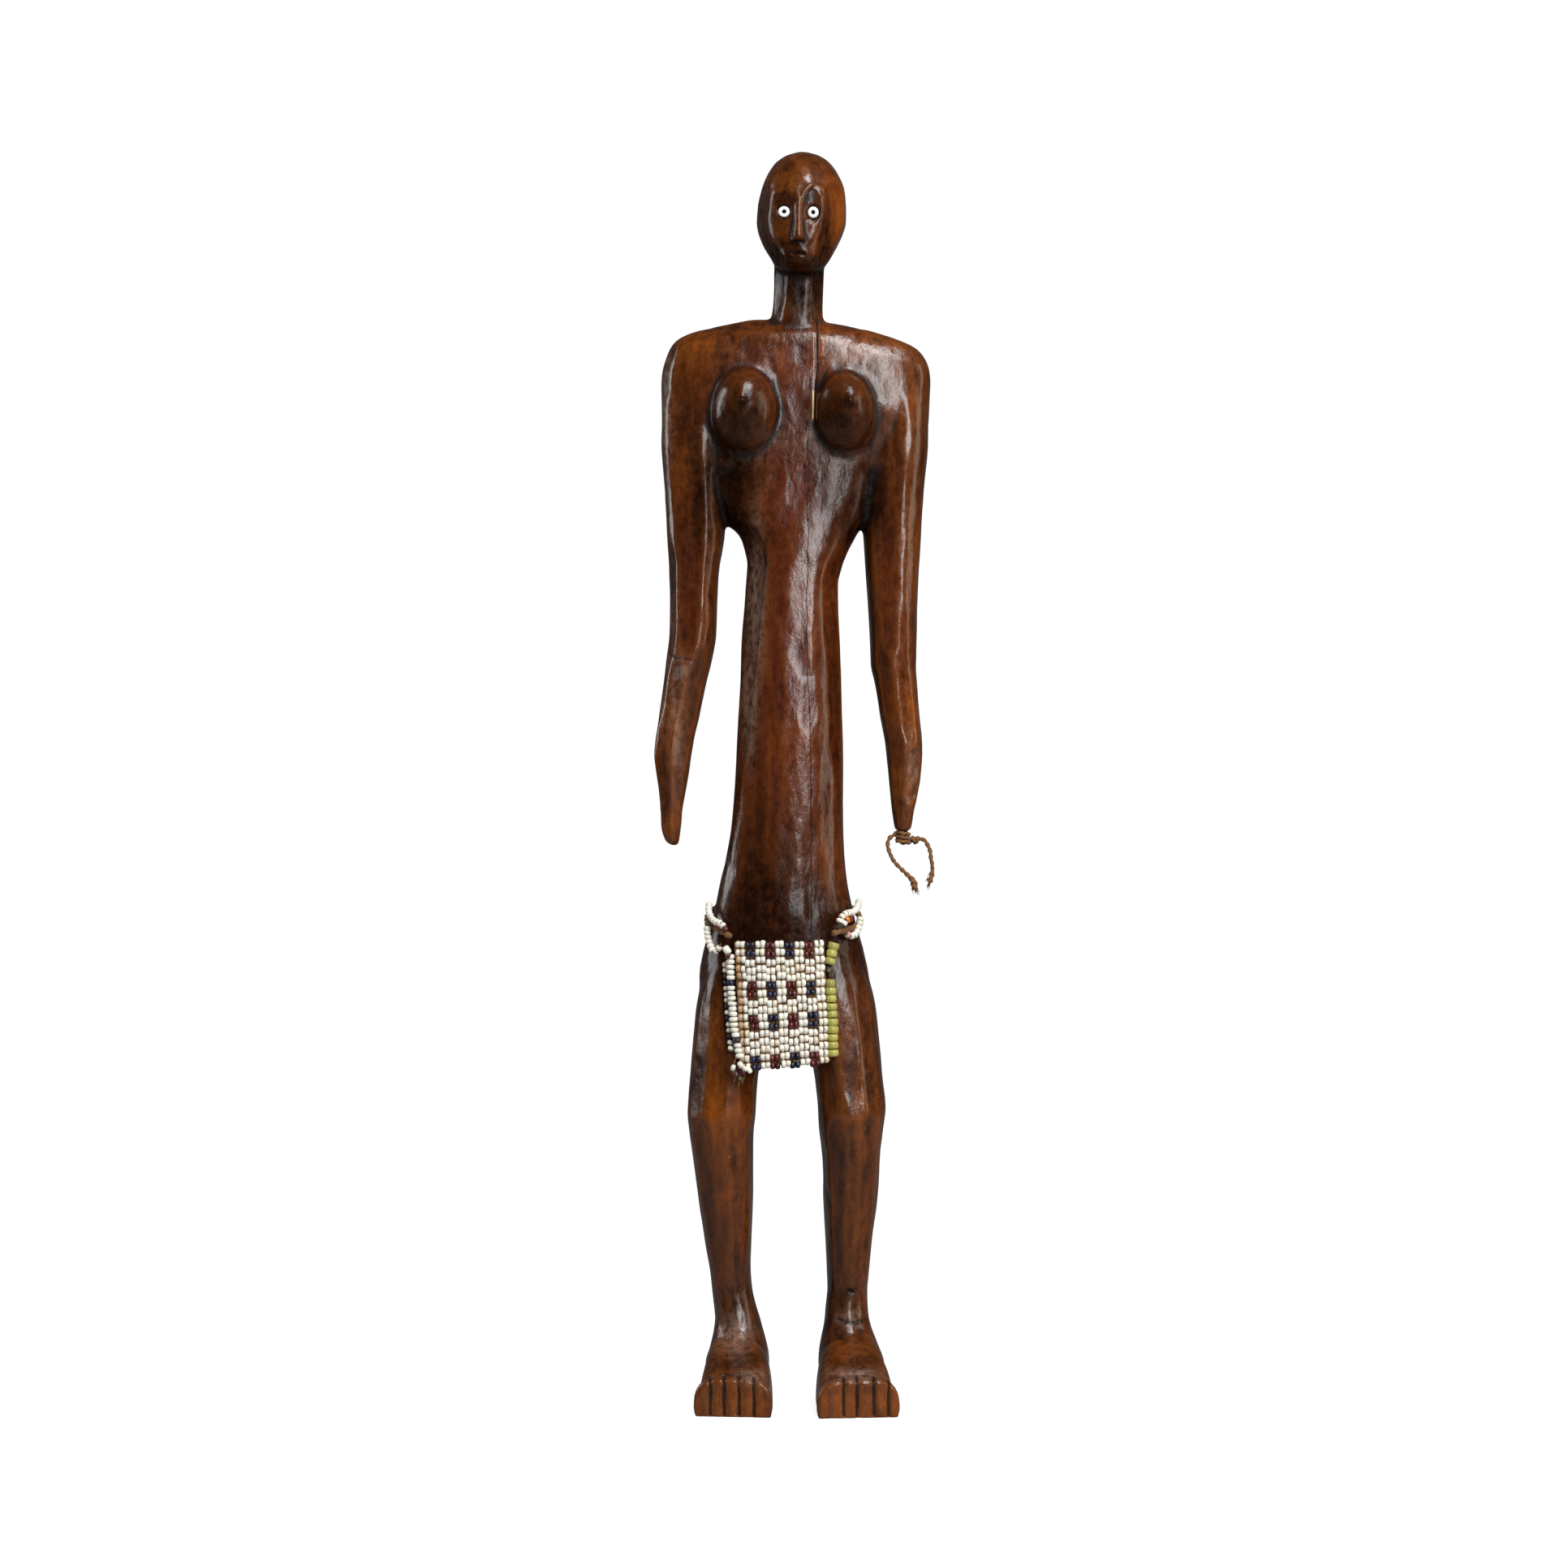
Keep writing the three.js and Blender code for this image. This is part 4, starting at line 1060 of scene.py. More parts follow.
def cut_grooves(points, normals, grooves):
    """Presses grooves along routes seen from the front: depth times exp(-(d / width)^2), with d the
    distance from the route, on the faces that look to the front."""
    for route, width, depth in grooves:
        front = np.clip(-1.6 * normals[:, 1], 0, 1) * (points[:, 1] < 6)
        pressed = depth * np.exp(-((route_distance(points, route) / width) ** 2)) * front
        points -= pressed[:, None] * normals


SOCKETS = [(-4.3, 519.2, 4.6, 8.6), (9.4, 519.6, 4.8, 9.4)]
SOCKET_MIDDLE = -16.1
SOCKET_DEPTH = 1.8
SOCKET_LEAN = 0.11


def dish(points, x, z, across, up):
    """Presses the front back to the inside of a stretched ball that leans:
    y = middle + lean dz + depth sqrt(1 - (dx / across)^2 - (dz / up)^2). The lean makes it deep at
    its upper edge, under the brow, and lets it run out on the cheek."""
    inside = 1 - ((points[:, 0] - x) / across) ** 2 - ((points[:, 2] - z) / up) ** 2
    leaning = SOCKET_MIDDLE + SOCKET_LEAN * (points[:, 2] - z)
    back = leaning + SOCKET_DEPTH * np.sqrt(np.clip(inside, 0, None))
    pressed = (inside > 0) & (points[:, 1] < back) & (points[:, 1] < 0)
    points[pressed, 1] = back[pressed]


print("tools for the face ready")

# %% Carve the face
BROW_RIGHT = [(4.8, 525), (5.4, 527.4), (7.2, 529.1), (9.6, 529.6), (12.4, 528.6)]
UNDER_BROW_RIGHT = [(6.2, 526.2), (9.2, 527.8), (12.2, 526.4)]
BROW_LEFT = [(0.7, 524), (-0.8, 527), (-3.6, 528.1), (-7.2, 526.8)]
UNDER_BROW_LEFT = [(-1.2, 525), (-4, 526.4), (-7.4, 525)]
MOUTH = [(0.1, 499.6), (2.4, 499.9), (4.8, 499.5)]
LOWER_LIP = [(0.8, 498), (4, 498)]
UNDER_NOSE = [(-0.4, 504.4), (5, 504.4)]
FACE_GROOVES = [
    (BROW_RIGHT, 1.0, -0.4),
    (UNDER_BROW_RIGHT, 1.0, 0.35),
    (BROW_LEFT, 1.1, -0.25),
    (UNDER_BROW_LEFT, 1.0, 0.3),
    (MOUTH, 0.62, 1.5),
    (LOWER_LIP, 0.9, -0.25),
    (UNDER_NOSE, 0.6, 0.7),
]
SEAT_RADIUS = EYE_BEAD["radius"] + 0.4
SEAT_BACK = EYE_BEAD["back"] + 0.15

normals = normals_of(figure)
for x, z, across, up in SOCKETS:
    dish(points, x, z, across, up)
cut_grooves(points, normals, FACE_GROOVES)
for x, z in EYES:
    near_eye = np.hypot(points[:, 0] - x, points[:, 2] - z) < SEAT_RADIUS
    seat = near_eye & (points[:, 1] < -5)
    points[seat, 1] = np.maximum(points[seat, 1], SEAT_BACK)
set_coordinates(figure, points)
print("face carved")

# %% [markdown]
# Toes, hollows, flutes and the long crack
#
# Toes are the foot's front edge parted by short grooves. Each groove has a narrow bottom inside a
# wide valley, which leaves every toe rounded. The long crack in the chest opened as the wood dried:
# it is a narrow groove that wanders a little. The hollows under the armpits, the scar on one arm,
# the nicks at the ankle and the flutes on the wrist stub are grooves too.

# %% Cut the toes and the crack
GROOVE_REACH = 7


def part_toes(points, normals, foot):
    """Presses the grooves between the toes: 1.1 mm deep in a line and 0.5 mm deep in a valley of
    three times its width, from the front of the foot to 7 mm behind it."""
    for x in foot["grooves"]:
        start = foot["front"] + setback(np.array(x), foot)
        reach = soft_range(points[:, 1], -60, start + GROOVE_REACH, 2.5) * (points[:, 2] > 0.4)
        off = points[:, 0] - x
        depth = (1.1 * np.exp(-((off / 0.5) ** 2)) + 0.5 * np.exp(-((off / 1.6) ** 2))) * reach
        upward = np.clip(normals[:, 2], 0, 1)[:, None] * UPWARD
        forward = np.clip(-normals[:, 1], 0, 1)[:, None] * np.array([0, -1.0, 0])
        points -= depth[:, None] * (upward + forward)


ARMPIT_HOLLOWS = [
    ([(-28.5, 404), (-27.6, 388)], 4.6, 1.7),
    ([(34.2, 404), (33.4, 388)], 4.6, 1.7),
]
ANKLE_NICKS = [
    ([(24.6, 50.9), (26, 50.1)], 0.6, 0.6),
    ([(20, 38.8), (25, 36.6), (31, 38)], 0.9, 0.35),
]
WRIST_FLUTES = [([(x, 264), (x - 0.2, 252.5)], 0.45, 0.4) for x in (46.9, 48.3, 49.6)]
CHEST_CRACK = [([(10.8, 473), (10.2, 462), (10.5, 452), (9.7, 441), (9.4, 428)], 0.45, 0.45)]
ARM_SCAR = [([(-53.2, 326), (-44.5, 325)], 0.8, 0.3)]

normals = normals_of(figure)
for foot in FEET:
    part_toes(points, normals, foot)
cut_grooves(points, normals, ARMPIT_HOLLOWS + ANKLE_NICKS + WRIST_FLUTES + CHEST_CRACK + ARM_SCAR)
set_coordinates(figure, points)
print("toes at y", round(float(points[points[:, 2] < 16, 1].min()), 1))

# %% [markdown]
# What the wood remembers, and where light and shade are painted
#
# Old wood is never one colour. Hands have polished the high places to amber and red, and oil and
# dust have made the hollows almost black. Some dark patches are painted shade: at the armpits,
# under the breasts and the chin, in the eye sockets, under the nose, in the mouth and down one
# side of the face. These places are kept at the vertices as numbers from 0 to 1, and the material
# mixes its colours by them. A hollow is found by comparing the surface with a smoothed copy of
# itself. The patches are sums of soft blobs, exp(-r^2), at chosen places. Worn places are where
# the polish is rubbed off and the wood is pale and grey, and most of them are painted grey sheen
# where flats and edges catch the light. Some amber is a painted highlight on the belly and chest.

# %% Soft blobs and numbers kept at the vertices
BLOB_DEPTH = 26


def write_number(piece, name, values):
    """Keeps a number at every vertex of a piece."""
    layer = piece.data.attributes.new(name, "FLOAT", "POINT")
    layer.data.foreach_set("value", np.asarray(values, np.float32))


def patches(points, blobs):
    """Sum of soft blobs. A blob is (x, y, z, radius across, radius up, strength)."""
    total = np.zeros(len(points))
    for x, y, z, across, up, strength in blobs:
        away = ((points[:, 0] - x) / across) ** 2 + ((points[:, 1] - y) / BLOB_DEPTH) ** 2
        total += strength * np.exp(-away - ((points[:, 2] - z) / up) ** 2)
    return np.clip(total, 0, 1)


print("blobs reach", BLOB_DEPTH, "mm from front to back")

# %% Where the wood is amber and where it is red, with a painted highlight on the belly and chest
AMBER_AND_HIGHLIGHT = [
    (20, 0, 513, 5, 16, 0.6),
    (-2, -14, 534, 8, 8, 0.5),
    (-8, -14, 520, 4, 12, 0.7),
    (-6, -14, 507, 6, 6, 0.7),
    (12, -14, 503, 4, 6, 0.9),
    (14, 0, 468, 4, 12, 0.9),
    (-8, -5, 460, 4, 10, 0.4),
    # Painted highlight, with amber wood, on the top of the chest.
    (30, -6, 462, 18, 6, 0.55),
    (-40, -6, 462, 14, 6, 0.5),
    (52, -2, 440, 8, 16, 0.45),
    (52, 0, 380, 6, 30, 0.5),
    (53, 0, 300, 6, 26, 0.7),
    (48, 0, 268, 6, 10, 0.8),
    (-50, 0, 400, 6, 26, 0.45),
    (-52, 0, 300, 5, 30, 0.5),
    (-52, 0, 255, 5, 8, 0.8),
    # Painted highlight, with amber wood, on the belly band: the next two.
    (4, -10, 345, 7, 20, 0.3),
    (3, -10, 290, 10, 14, 0.3),
    (-31, -10, 130, 9, 15, 0.85),
    (27, -10, 130, 8, 16, 0.9),
    (20, -12, 165, 6, 18, 0.8),
    (-36, -6, 168, 5, 16, 0.5),
    (-24, 0, 96, 6, 14, 0.45),
    (28, 0, 70, 6, 22, 0.5),
    (-24, -30, 6, 22, 12, 1.3),
    (28, -30, 6, 22, 12, 1.1),
    (-28, -4, 26, 10, 5, 0.6),
    (24, -4, 26, 10, 5, 0.6),
    (0, 24, 400, 22, 30, 0.5),
    (4, 24, 520, 12, 16, 0.5),
    (-30, 26, 170, 10, 20, 0.5),
    (26, 26, 172, 10, 20, 0.5),
    (-30, 24, 96, 8, 24, 0.4),
    (26, 24, 92, 8, 24, 0.4),
]
RED = [
    (2, -8, 450, 26, 14, 0.8),
    (3, -10, 400, 18, 26, 0.9),
    (1, -10, 340, 14, 34, 0.8),
    (0, -10, 280, 16, 34, 0.7),
    (0, -14, 500, 9, 8, 0.5),
    (3, -12, 512, 3, 12, 0.7),
    (-46, 0, 350, 8, 40, 0.4),
    (46, 0, 350, 8, 40, 0.5),
    (0, 26, 300, 20, 60, 0.5),
]
print(len(AMBER_AND_HIGHLIGHT), "amber places and", len(RED), "red ones")

# %% Where the wood is dark, where shade and sheen are painted, and where it is worn
# Dark places: dark wood, and painted shade in the places marked below.
DARK_AND_SHADE = [
    (-20, -16, 430, 13, 17, 1.0),
    (22, -16, 430, 12, 16, 1.0),
    # Painted shade: the next five, at the armpits, under the left breast and under the chest.
    (-27, -6, 397, 8, 22, 1.1),
    (33.5, -6, 395, 7, 22, 1.1),
    (-20, -10, 404, 12, 6, 0.6),
    (-21, -8, 381, 6, 9, 0.7),
    (26, -8, 380, 6, 9, 0.7),
    # Painted shadow under the chin, then painted shade under the right breast.
    (2, -4, 493, 18, 11, 1.3),
    (16, -10, 396, 11, 22, 0.8),
    (-44, 0, 402, 14, 42, 0.5),
    (46, -2, 395, 9, 34, 0.3),
    (-9, -10, 514, 12, 24, 0.4),
    (6, -10, 510, 12, 14, 0.3),
    (-28, -8, 172, 9, 20, 0.3),
    (7, -2, 479, 6, 12, 0.9),
    (0, -10, 216, 40, 17, 0.85),
    (-24, -8, 196, 24, 16, 0.75),
    (18, -8, 196, 24, 14, 0.6),
    (-14, -12, 232, 10, 24, 0.6),
    (-40, -2, 392, 5, 20, 0.5),
    (-24, -14, 22, 17, 5, 0.7),
    (26, -14, 22, 17, 5, 0.7),
    (-24, 0, 48, 8, 12, 0.4),
    (24, 0, 48, 8, 12, 0.4),
    (-25.3, -8, 107, 2.2, 4, 0.8),
    (25.3, 0, 50.5, 2, 2, 0.9),
    (26, 0, 37, 6, 2, 0.5),
    # Painted shade: the next seven, under the brows, round the eyes, under the nose, in the mouth and
    # down the right side of the face.
    (-3.7, -16, 523.5, 5, 3.5, 0.75),
    (8.9, -16, 524, 4.5, 3.5, 0.6),
    (-3.7, -16, 518, 3.6, 3.6, 0.9),
    (8.9, -16, 517.7, 3.6, 3.6, 0.9),
    (2.4, -18, 504.2, 4, 1.2, 1.0),
    (2.4, -18, 499.7, 3, 0.9, 1.0),
    (14, -10, 507, 2.5, 10, 0.8),
    (-6, -10, 498, 6, 5, 0.5),
    (47, 2, 258, 4, 7, 0.5),
    (-21.8, -23, 436.2, 2, 2, 0.5),
    (24.5, -23, 436.2, 2, 2, 0.5),
    (0, -10, 180, 26, 12, 0.4),
]
# Worn places, most of them painted grey sheen where flats and edges catch the light: the toe ledges and
# foot tops, the wrist facet, the forearm ridge, the left shoulder, the top of the chest and the strips
# down the left of the torso.
WORN_AND_SHEEN = [
    (27, -30, 18, 10, 2, 1.0),
    (-17, -28, 17, 6, 2.4, 0.8),
    (-25, -12, 33, 7, 8, 0.7),
    (24, -8, 39, 5, 3, 0.7),
    (52, -2, 277, 2.2, 8, 0.8),
    (-48, -4, 321, 3, 4, 0.7),
    (-55, -2, 432, 2.2, 24, 0.8),
    (33, -8, 457, 13, 5, 0.6),
    (6, -4, 479, 4, 7, 0.5),
    (-8, -14, 420, 4, 3, 0.5),
    (9, -14, 418, 3, 8, 0.3),
    (-24, -17, 412, 10, 2.4, 0.4),
    (24, -17, 412, 9, 2.4, 0.5),
    (-16, -8, 352, 3.4, 30, 0.9),
    (-19, -7, 305, 2.8, 20, 0.9),
    (-50.5, -4, 300, 2.6, 28, 0.45),
]
print(len(DARK_AND_SHADE), "dark places and", len(WORN_AND_SHEEN), "worn ones")

# %% Write the numbers
HOLLOW_TURNS = 14
HOLLOW_RANGE = 0.5

smooth = points.copy()
relax(smooth, edges, 0.7, HOLLOW_TURNS)
normals = normals_of(figure)
hollow = ((smooth - points) * normals).sum(axis=1)
write_number(figure, "hollow", np.clip(0.5 + hollow / HOLLOW_RANGE, 0, 1))
for name, blobs in [("amber", AMBER_AND_HIGHLIGHT), ("red", RED), ("dark", DARK_AND_SHADE), ("worn", WORN_AND_SHEEN)]:
    write_number(figure, name, patches(points, blobs))
print("hollows from", round(float(hollow.min()), 2), "to", round(float(hollow.max()), 2), "mm")

# %% Thin out the flat parts
KEPT_TRIANGLES = 190000
triangles = 2 * len(figure.data.polygons)
thin = figure.modifiers.new("thin", "DECIMATE")
thin.ratio = KEPT_TRIANGLES / triangles
graph = bpy.context.evaluated_depsgraph_get()
thinned = bpy.data.meshes.new_from_object(figure.evaluated_get(graph))
figure.modifiers.clear()
figure.data = thinned
figure.data.shade_smooth()
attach(figure, "root")
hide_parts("figure")
thinned.calc_loop_triangles()
print("kept", len(thinned.loop_triangles), "of", triangles, "triangles")

# %% [markdown]
# A short way to build materials
#
# A material is a small network of nodes. Writing each node and each link on its own takes many
# lines, so one helper adds a node, sets it up, and links whatever is handed to its inputs. The
# others are made with it and each stands for one step, such as noise or a sum.

# %% Nodes and their inputs
def new_material(name):
    """A material without nodes, and its node tree."""
    material = bpy.data.materials.new(name)
    material.use_nodes = True
    material.node_tree.nodes.clear()
    return material, material.node_tree


def add(tree, kind, inputs=(), **settings):
    """Adds a node. Each input is linked if it is a socket and set if it is a plain value."""
    made = tree.nodes.new("ShaderNode" + kind)
    for key, value in settings.items():
        setattr(made, key, value)
    for key, value in dict(inputs).items():
        if isinstance(value, bpy.types.NodeSocket):
            tree.links.new(value, made.inputs[key])
        else:
            made.inputs[key].default_value = value
    return made


def noise(tree, place, stretch, scale, detail, roughness):
    """Noise between 0 and 1, on coordinates that are multiplied by the stretch first."""
    scaled = add(tree, "Mapping", {"Vector": place, "Scale": stretch}).outputs["Vector"]
    inputs = {"Vector": scaled, "Scale": scale, "Detail": detail, "Roughness": roughness}
    return add(tree, "TexNoise", inputs).outputs["Fac"]


def spread(tree, value, low, high, to_low=0.0, to_high=1.0):
    """Moves the range low to high of a value onto another range, and clamps it."""
    inputs = {"Value": value, "From Min": low, "From Max": high, "To Min": to_low, "To Max": to_high}
    return add(tree, "MapRange", inputs).outputs["Result"]


print("node helpers ready")

# %% Sums, ranges and mixes
def maths(tree, operation, a, b=0.0):
    """One sum, product or other operation on two values."""
    return add(tree, "Math", {0: a, 1: b}, operation=operation).outputs[0]


def weighed(tree, *parts):
    """The sum of values times their weights."""
    total = maths(tree, "MULTIPLY", *parts[0])
    for value, weight in parts[1:]:
        total = maths(tree, "ADD", total, maths(tree, "MULTIPLY", value, weight))
    return total


def between(tree, value, low, high, edge):
    """1 between two places and 0 outside them, with a short ramp at both ends."""
    rise = spread(tree, value, low - edge, low)
    return maths(tree, "MULTIPLY", rise, spread(tree, value, high, high + edge, 1.0, 0.0))


def blend(tree, factor, a, b):
    """Colour a where the factor is 0 and colour b where it is 1."""
    inputs = {0: factor, 6: a, 7: b}
    return add(tree, "Mix", inputs, data_type="RGBA").outputs[2]


def number(tree, name):
    """A number kept at the vertices of the piece."""
    return add(tree, "Attribute", attribute_name=name).outputs["Fac"]


print("mixing helpers ready")

# %% Colours, relief and surface
def paint(r, g, b):
    """An opaque colour."""
    return (r, g, b, 1.0)


def three_colours(tree, factor, low, middle, high):
    """A colour that goes from low over middle to high as the factor goes from 0 to 1."""
    ramp = add(tree, "ValToRGB", {"Fac": factor})
    ramp.color_ramp.elements[0].color = low
    ramp.color_ramp.elements[1].color = high
    ramp.color_ramp.elements.new(0.5).color = middle
    return ramp.outputs["Color"]


def tilted(tree, height, strength, distance):
    """The surface's normals, tilted as by a relief of the given height and distance in metres."""
    inputs = {"Height": height, "Strength": strength, "Distance": distance}
    return add(tree, "Bump", inputs).outputs["Normal"]


def finish_material(tree, inputs):
    """Adds the surface shader with its inputs and links it to the material's output."""
    surface = add(tree, "BsdfPrincipled", inputs)
    add(tree, "OutputMaterial", {"Surface": surface.outputs["BSDF"]})


print("surface helpers ready")

# %% [markdown]
# The wood
#
# The wood is nearly black in its hollows, red-brown on the body and amber where it has been handled.
# Its grain runs up and down, so the noise that draws it is squeezed along z. Fine dark pores lie in
# the grain. A wide crack parts the chest and a hair crack runs down the belly: each is a band round
# a curve x(z), and a curve node keeps the x of the crack for every height. Beside the wide one a
# splinter has left a strip of raw yellow wood. The polish is uneven, so its roughness changes from
# spot to spot, and where dirt fills the hollows it hardly shines at all.

# %% Patterns in the wood
wood, tree = new_material("polished_wood")
place = add(tree, "TexCoord").outputs["Object"]
grain = noise(tree, place, (1, 1, 0.035), 1500, 6, 0.65)
streaks = noise(tree, place, (1, 1, 0.09), 260, 5, 0.6)
clouds = noise(tree, place, (1, 1, 0.4), 60, 4, 0.55)
mottle = noise(tree, place, (1, 1, 0.7), 330, 5, 0.7)
dents = noise(tree, place, (1, 1, 0.55), 150, 3, 0.5)
specks = noise(tree, place, (1, 1, 0.5), 1150, 3, 0.6)
tone = weighed(tree, (clouds, 0.35), (streaks, 0.35), (mottle, 0.3))
print("patterns laid out in", len(tree.nodes), "nodes")

# %% Colours of the wood
NEARLY_BLACK = paint(0.0120, 0.0030, 0.0010)
RED_BROWN = paint(0.052, 0.0120, 0.0020)
WARM_BROWN = paint(0.130, 0.029, 0.0035)
RED_WOOD = paint(0.115, 0.0150, 0.0040)
# Amber: handled wood, and painted highlight on the belly and chest.
AMBER_WOOD_AND_HIGHLIGHT = paint(0.32, 0.080, 0.0050)
RUBBED_RIDGE = paint(0.21, 0.060, 0.0090)
# Pale grey: worn wood, and painted sheen.
WORN_WOOD_AND_SHEEN = paint(0.30, 0.195, 0.145)
# Nearly black: dark wood, and painted shade.
OLD_OIL_AND_SHADE = paint(0.0065, 0.0024, 0.0013)
OLD_DUST = paint(0.0050, 0.0024, 0.0015)
PORE = paint(0.0110, 0.0034, 0.0014)
SPECK = paint(0.010, 0.006, 0.005)

colour = three_colours(tree, spread(tree, tone, 0.38, 0.62), NEARLY_BLACK, RED_BROWN, WARM_BROWN)
red_share = maths(tree, "MULTIPLY", number(tree, "red"), spread(tree, mottle, 0.35, 0.62, 0.25, 0.85))
# Amber wood, and painted highlight on the belly and chest.
amber_and_highlight_share = maths(tree, "MULTIPLY", number(tree, "amber"), spread(tree, tone, 0.42, 0.60, 0.10, 1.0))
# Painted grey sheen and wear, mixed in by the worn places.
worn_and_sheen_share = maths(tree, "MULTIPLY", number(tree, "worn"), spread(tree, mottle, 0.40, 0.56, 0.15, 1.0))
# Dark wood and painted shade, mixed in by the dark places.
dark_and_shade_share = maths(tree, "MULTIPLY", number(tree, "dark"), spread(tree, mottle, 0.3, 0.6, 1.0, 0.7))
for share, layer in [
    (red_share, RED_WOOD),
    (amber_and_highlight_share, AMBER_WOOD_AND_HIGHLIGHT),
    (spread(tree, number(tree, "hollow"), 0.5, 0.28, 0.0, 0.35), RUBBED_RIDGE),
    (worn_and_sheen_share, WORN_WOOD_AND_SHEEN),
    (dark_and_shade_share, OLD_OIL_AND_SHADE),
    (spread(tree, number(tree, "hollow"), 0.55, 0.85, 0.0, 0.9), OLD_DUST),
    (spread(tree, grain, 0.56, 0.70, 0.0, 0.55), PORE),
    (spread(tree, specks, 0.66, 0.74, 0.0, 0.8), SPECK),
]:
    colour = blend(tree, share, colour, layer)
print("colours laid over each other in", len(tree.nodes), "nodes")

# %% Cracks in the wood
CRACKS = [
    (206, 8.3),
    (250, 8),
    (294, 7.6),
    (338, 6.1),
    (365, 6.6),
    (421, 6.6),
    (428, 9.4),
    (441, 9.7),
    (452, 10.5),
    (473, 10.8),
]
FIGURE_HEIGHT = 546.3
CRACK_SPAN = 20
CRACK_DARK = paint(0.003, 0.002, 0.0015)
RAW_WOOD = paint(0.50, 0.29, 0.085)

axes = add(tree, "SeparateXYZ", {"Vector": place}).outputs
crack_x = add(tree, "FloatCurve", {"Value": maths(tree, "DIVIDE", axes["Z"], FIGURE_HEIGHT * MM)})
crack_curve = crack_x.mapping.curves[0]
for z, x in CRACKS[1:-1]:
    crack_curve.points.new(z / FIGURE_HEIGHT, x / CRACK_SPAN)
crack_curve.points[0].location = (0, CRACKS[0][1] / CRACK_SPAN)
crack_curve.points[-1].location = (1, CRACKS[-1][1] / CRACK_SPAN)
crack_x.mapping.update()

front = spread(tree, axes["Y"], -0.004, -0.002, 1.0, 0.0)
on_belly = between(tree, axes["Z"], 0.210, 0.414, 0.006)
on_chest = between(tree, axes["Z"], 0.430, 0.480, 0.004)
wander = spread(tree, noise(tree, place, (0, 0, 1), 75, 4, 0.6), 0.3, 0.7, -0.0007, 0.0007)
off = maths(tree, "SUBTRACT", axes["X"], maths(tree, "MULTIPLY", crack_x.outputs[0], CRACK_SPAN * MM))
from_hair = maths(tree, "ABSOLUTE", maths(tree, "ADD", off, wander))
from_wide = maths(tree, "ABSOLUTE", off)
hair_crack = maths(tree, "MULTIPLY", spread(tree, from_hair, 0.00008, 0.00024, 1.0, 0.0), on_belly)
wide_crack = maths(tree, "MULTIPLY", spread(tree, from_wide, 0.00014, 0.00028, 1.0, 0.0), on_chest)
cracks = maths(tree, "MULTIPLY", maths(tree, "MAXIMUM", hair_crack, wide_crack), front)
colour = blend(tree, cracks, colour, CRACK_DARK)

beside = between(tree, off, -0.0010, -0.0004, 0.00012)
splinter = maths(tree, "MULTIPLY", beside, between(tree, axes["Z"], 0.4295, 0.441, 0.001))
colour = blend(tree, maths(tree, "MULTIPLY", splinter, front), colour, RAW_WOOD)
print("cracks from", CRACKS[0][0], "to", CRACKS[-1][0], "mm high")

# %% Polish and fine relief of the wood
gloss = spread(tree, mottle, 0.35, 0.65, 0.17, 0.34)
gloss = maths(tree, "ADD", gloss, spread(tree, number(tree, "hollow"), 0.5, 0.8, 0.0, 0.3))
gloss = maths(tree, "ADD", gloss, maths(tree, "MULTIPLY", worn_and_sheen_share, 0.22))
clean = spread(tree, dark_and_shade_share, 0.2, 0.9, 1.0, 0.25)
relief = weighed(tree, (grain, 0.07), (mottle, 0.45), (dents, 1.3))
relief = maths(tree, "SUBTRACT", relief, maths(tree, "MULTIPLY", cracks, 1.5))
wood_normal = tilted(tree, relief, 0.5, 0.0006)
finish_material(
    tree,
    {
        "Base Color": colour,
        "Roughness": gloss,
        "Normal": wood_normal,
        "Specular IOR Level": maths(tree, "MULTIPLY", clean, 0.30),
        "Coat Weight": maths(tree, "MULTIPLY", clean, 0.35),
        "Coat Roughness": 0.13,
        "Coat Normal": wood_normal,
    },
)
figure.data.materials.clear()
figure.data.materials.append(wood)
print("wood has", len(tree.nodes), "nodes")

# %% [markdown]
# Plant fibre
#
# Rolled bark fibre is brown, dull and streaked. The streaks follow the twist of the cord, so the
# noise is laid out on the numbers that were kept along its strands.

# %% Fibre material
fibre, tree = new_material("plant_fibre")
lay = add(tree, "Attribute", attribute_name="lay").outputs["Vector"]
strands = noise(tree, lay, (1, 1, 0.25), 7, 4, 0.7)
fuzz = noise(tree, add(tree, "TexCoord").outputs["Object"], (1, 1, 1), 2500, 3, 0.7)
relief = maths(tree, "ADD", strands, maths(tree, "MULTIPLY", fuzz, 0.4))
finish_material(
    tree,
    {
        "Base Color": three_colours(
            tree,
            spread(tree, strands, 0.3, 0.7),
            paint(0.022, 0.009, 0.004),
            paint(0.190, 0.076, 0.016),
            paint(0.46, 0.205, 0.050),
        ),
        "Roughness": 0.78,
        "Sheen Weight": 0.1,
        "Sheen Roughness": 0.5,
        "Normal": tilted(tree, relief, 0.7, 0.0003),
    },
)
for piece in (wrist_cord, knot, loose_fibres):
    piece.data.materials.append(fibre)
print("fibre has", len(tree.nodes), "nodes")

# %% [markdown]
# Glass beads
#
# A seed bead is a short slice of a glass tube with melted round edges. All the beads on the figure
# are the same shape at different sizes, so they are worked out at once: one ring of points is laid
# round each bead's own line, then scaled, leaned a little and moved to its place. No two real beads
# match, so size and lean change slightly from bead to bead.

# %% Many beads at once
BEAD_AROUND = 12
BEAD_PROFILE = 6
BEAD_SQUARENESS = 0.8
BEAD_LEAN = 0.05
BEAD_OVAL = 0.03
HOLE_SHARE = 0.3
BORE_STARTS = -0.5


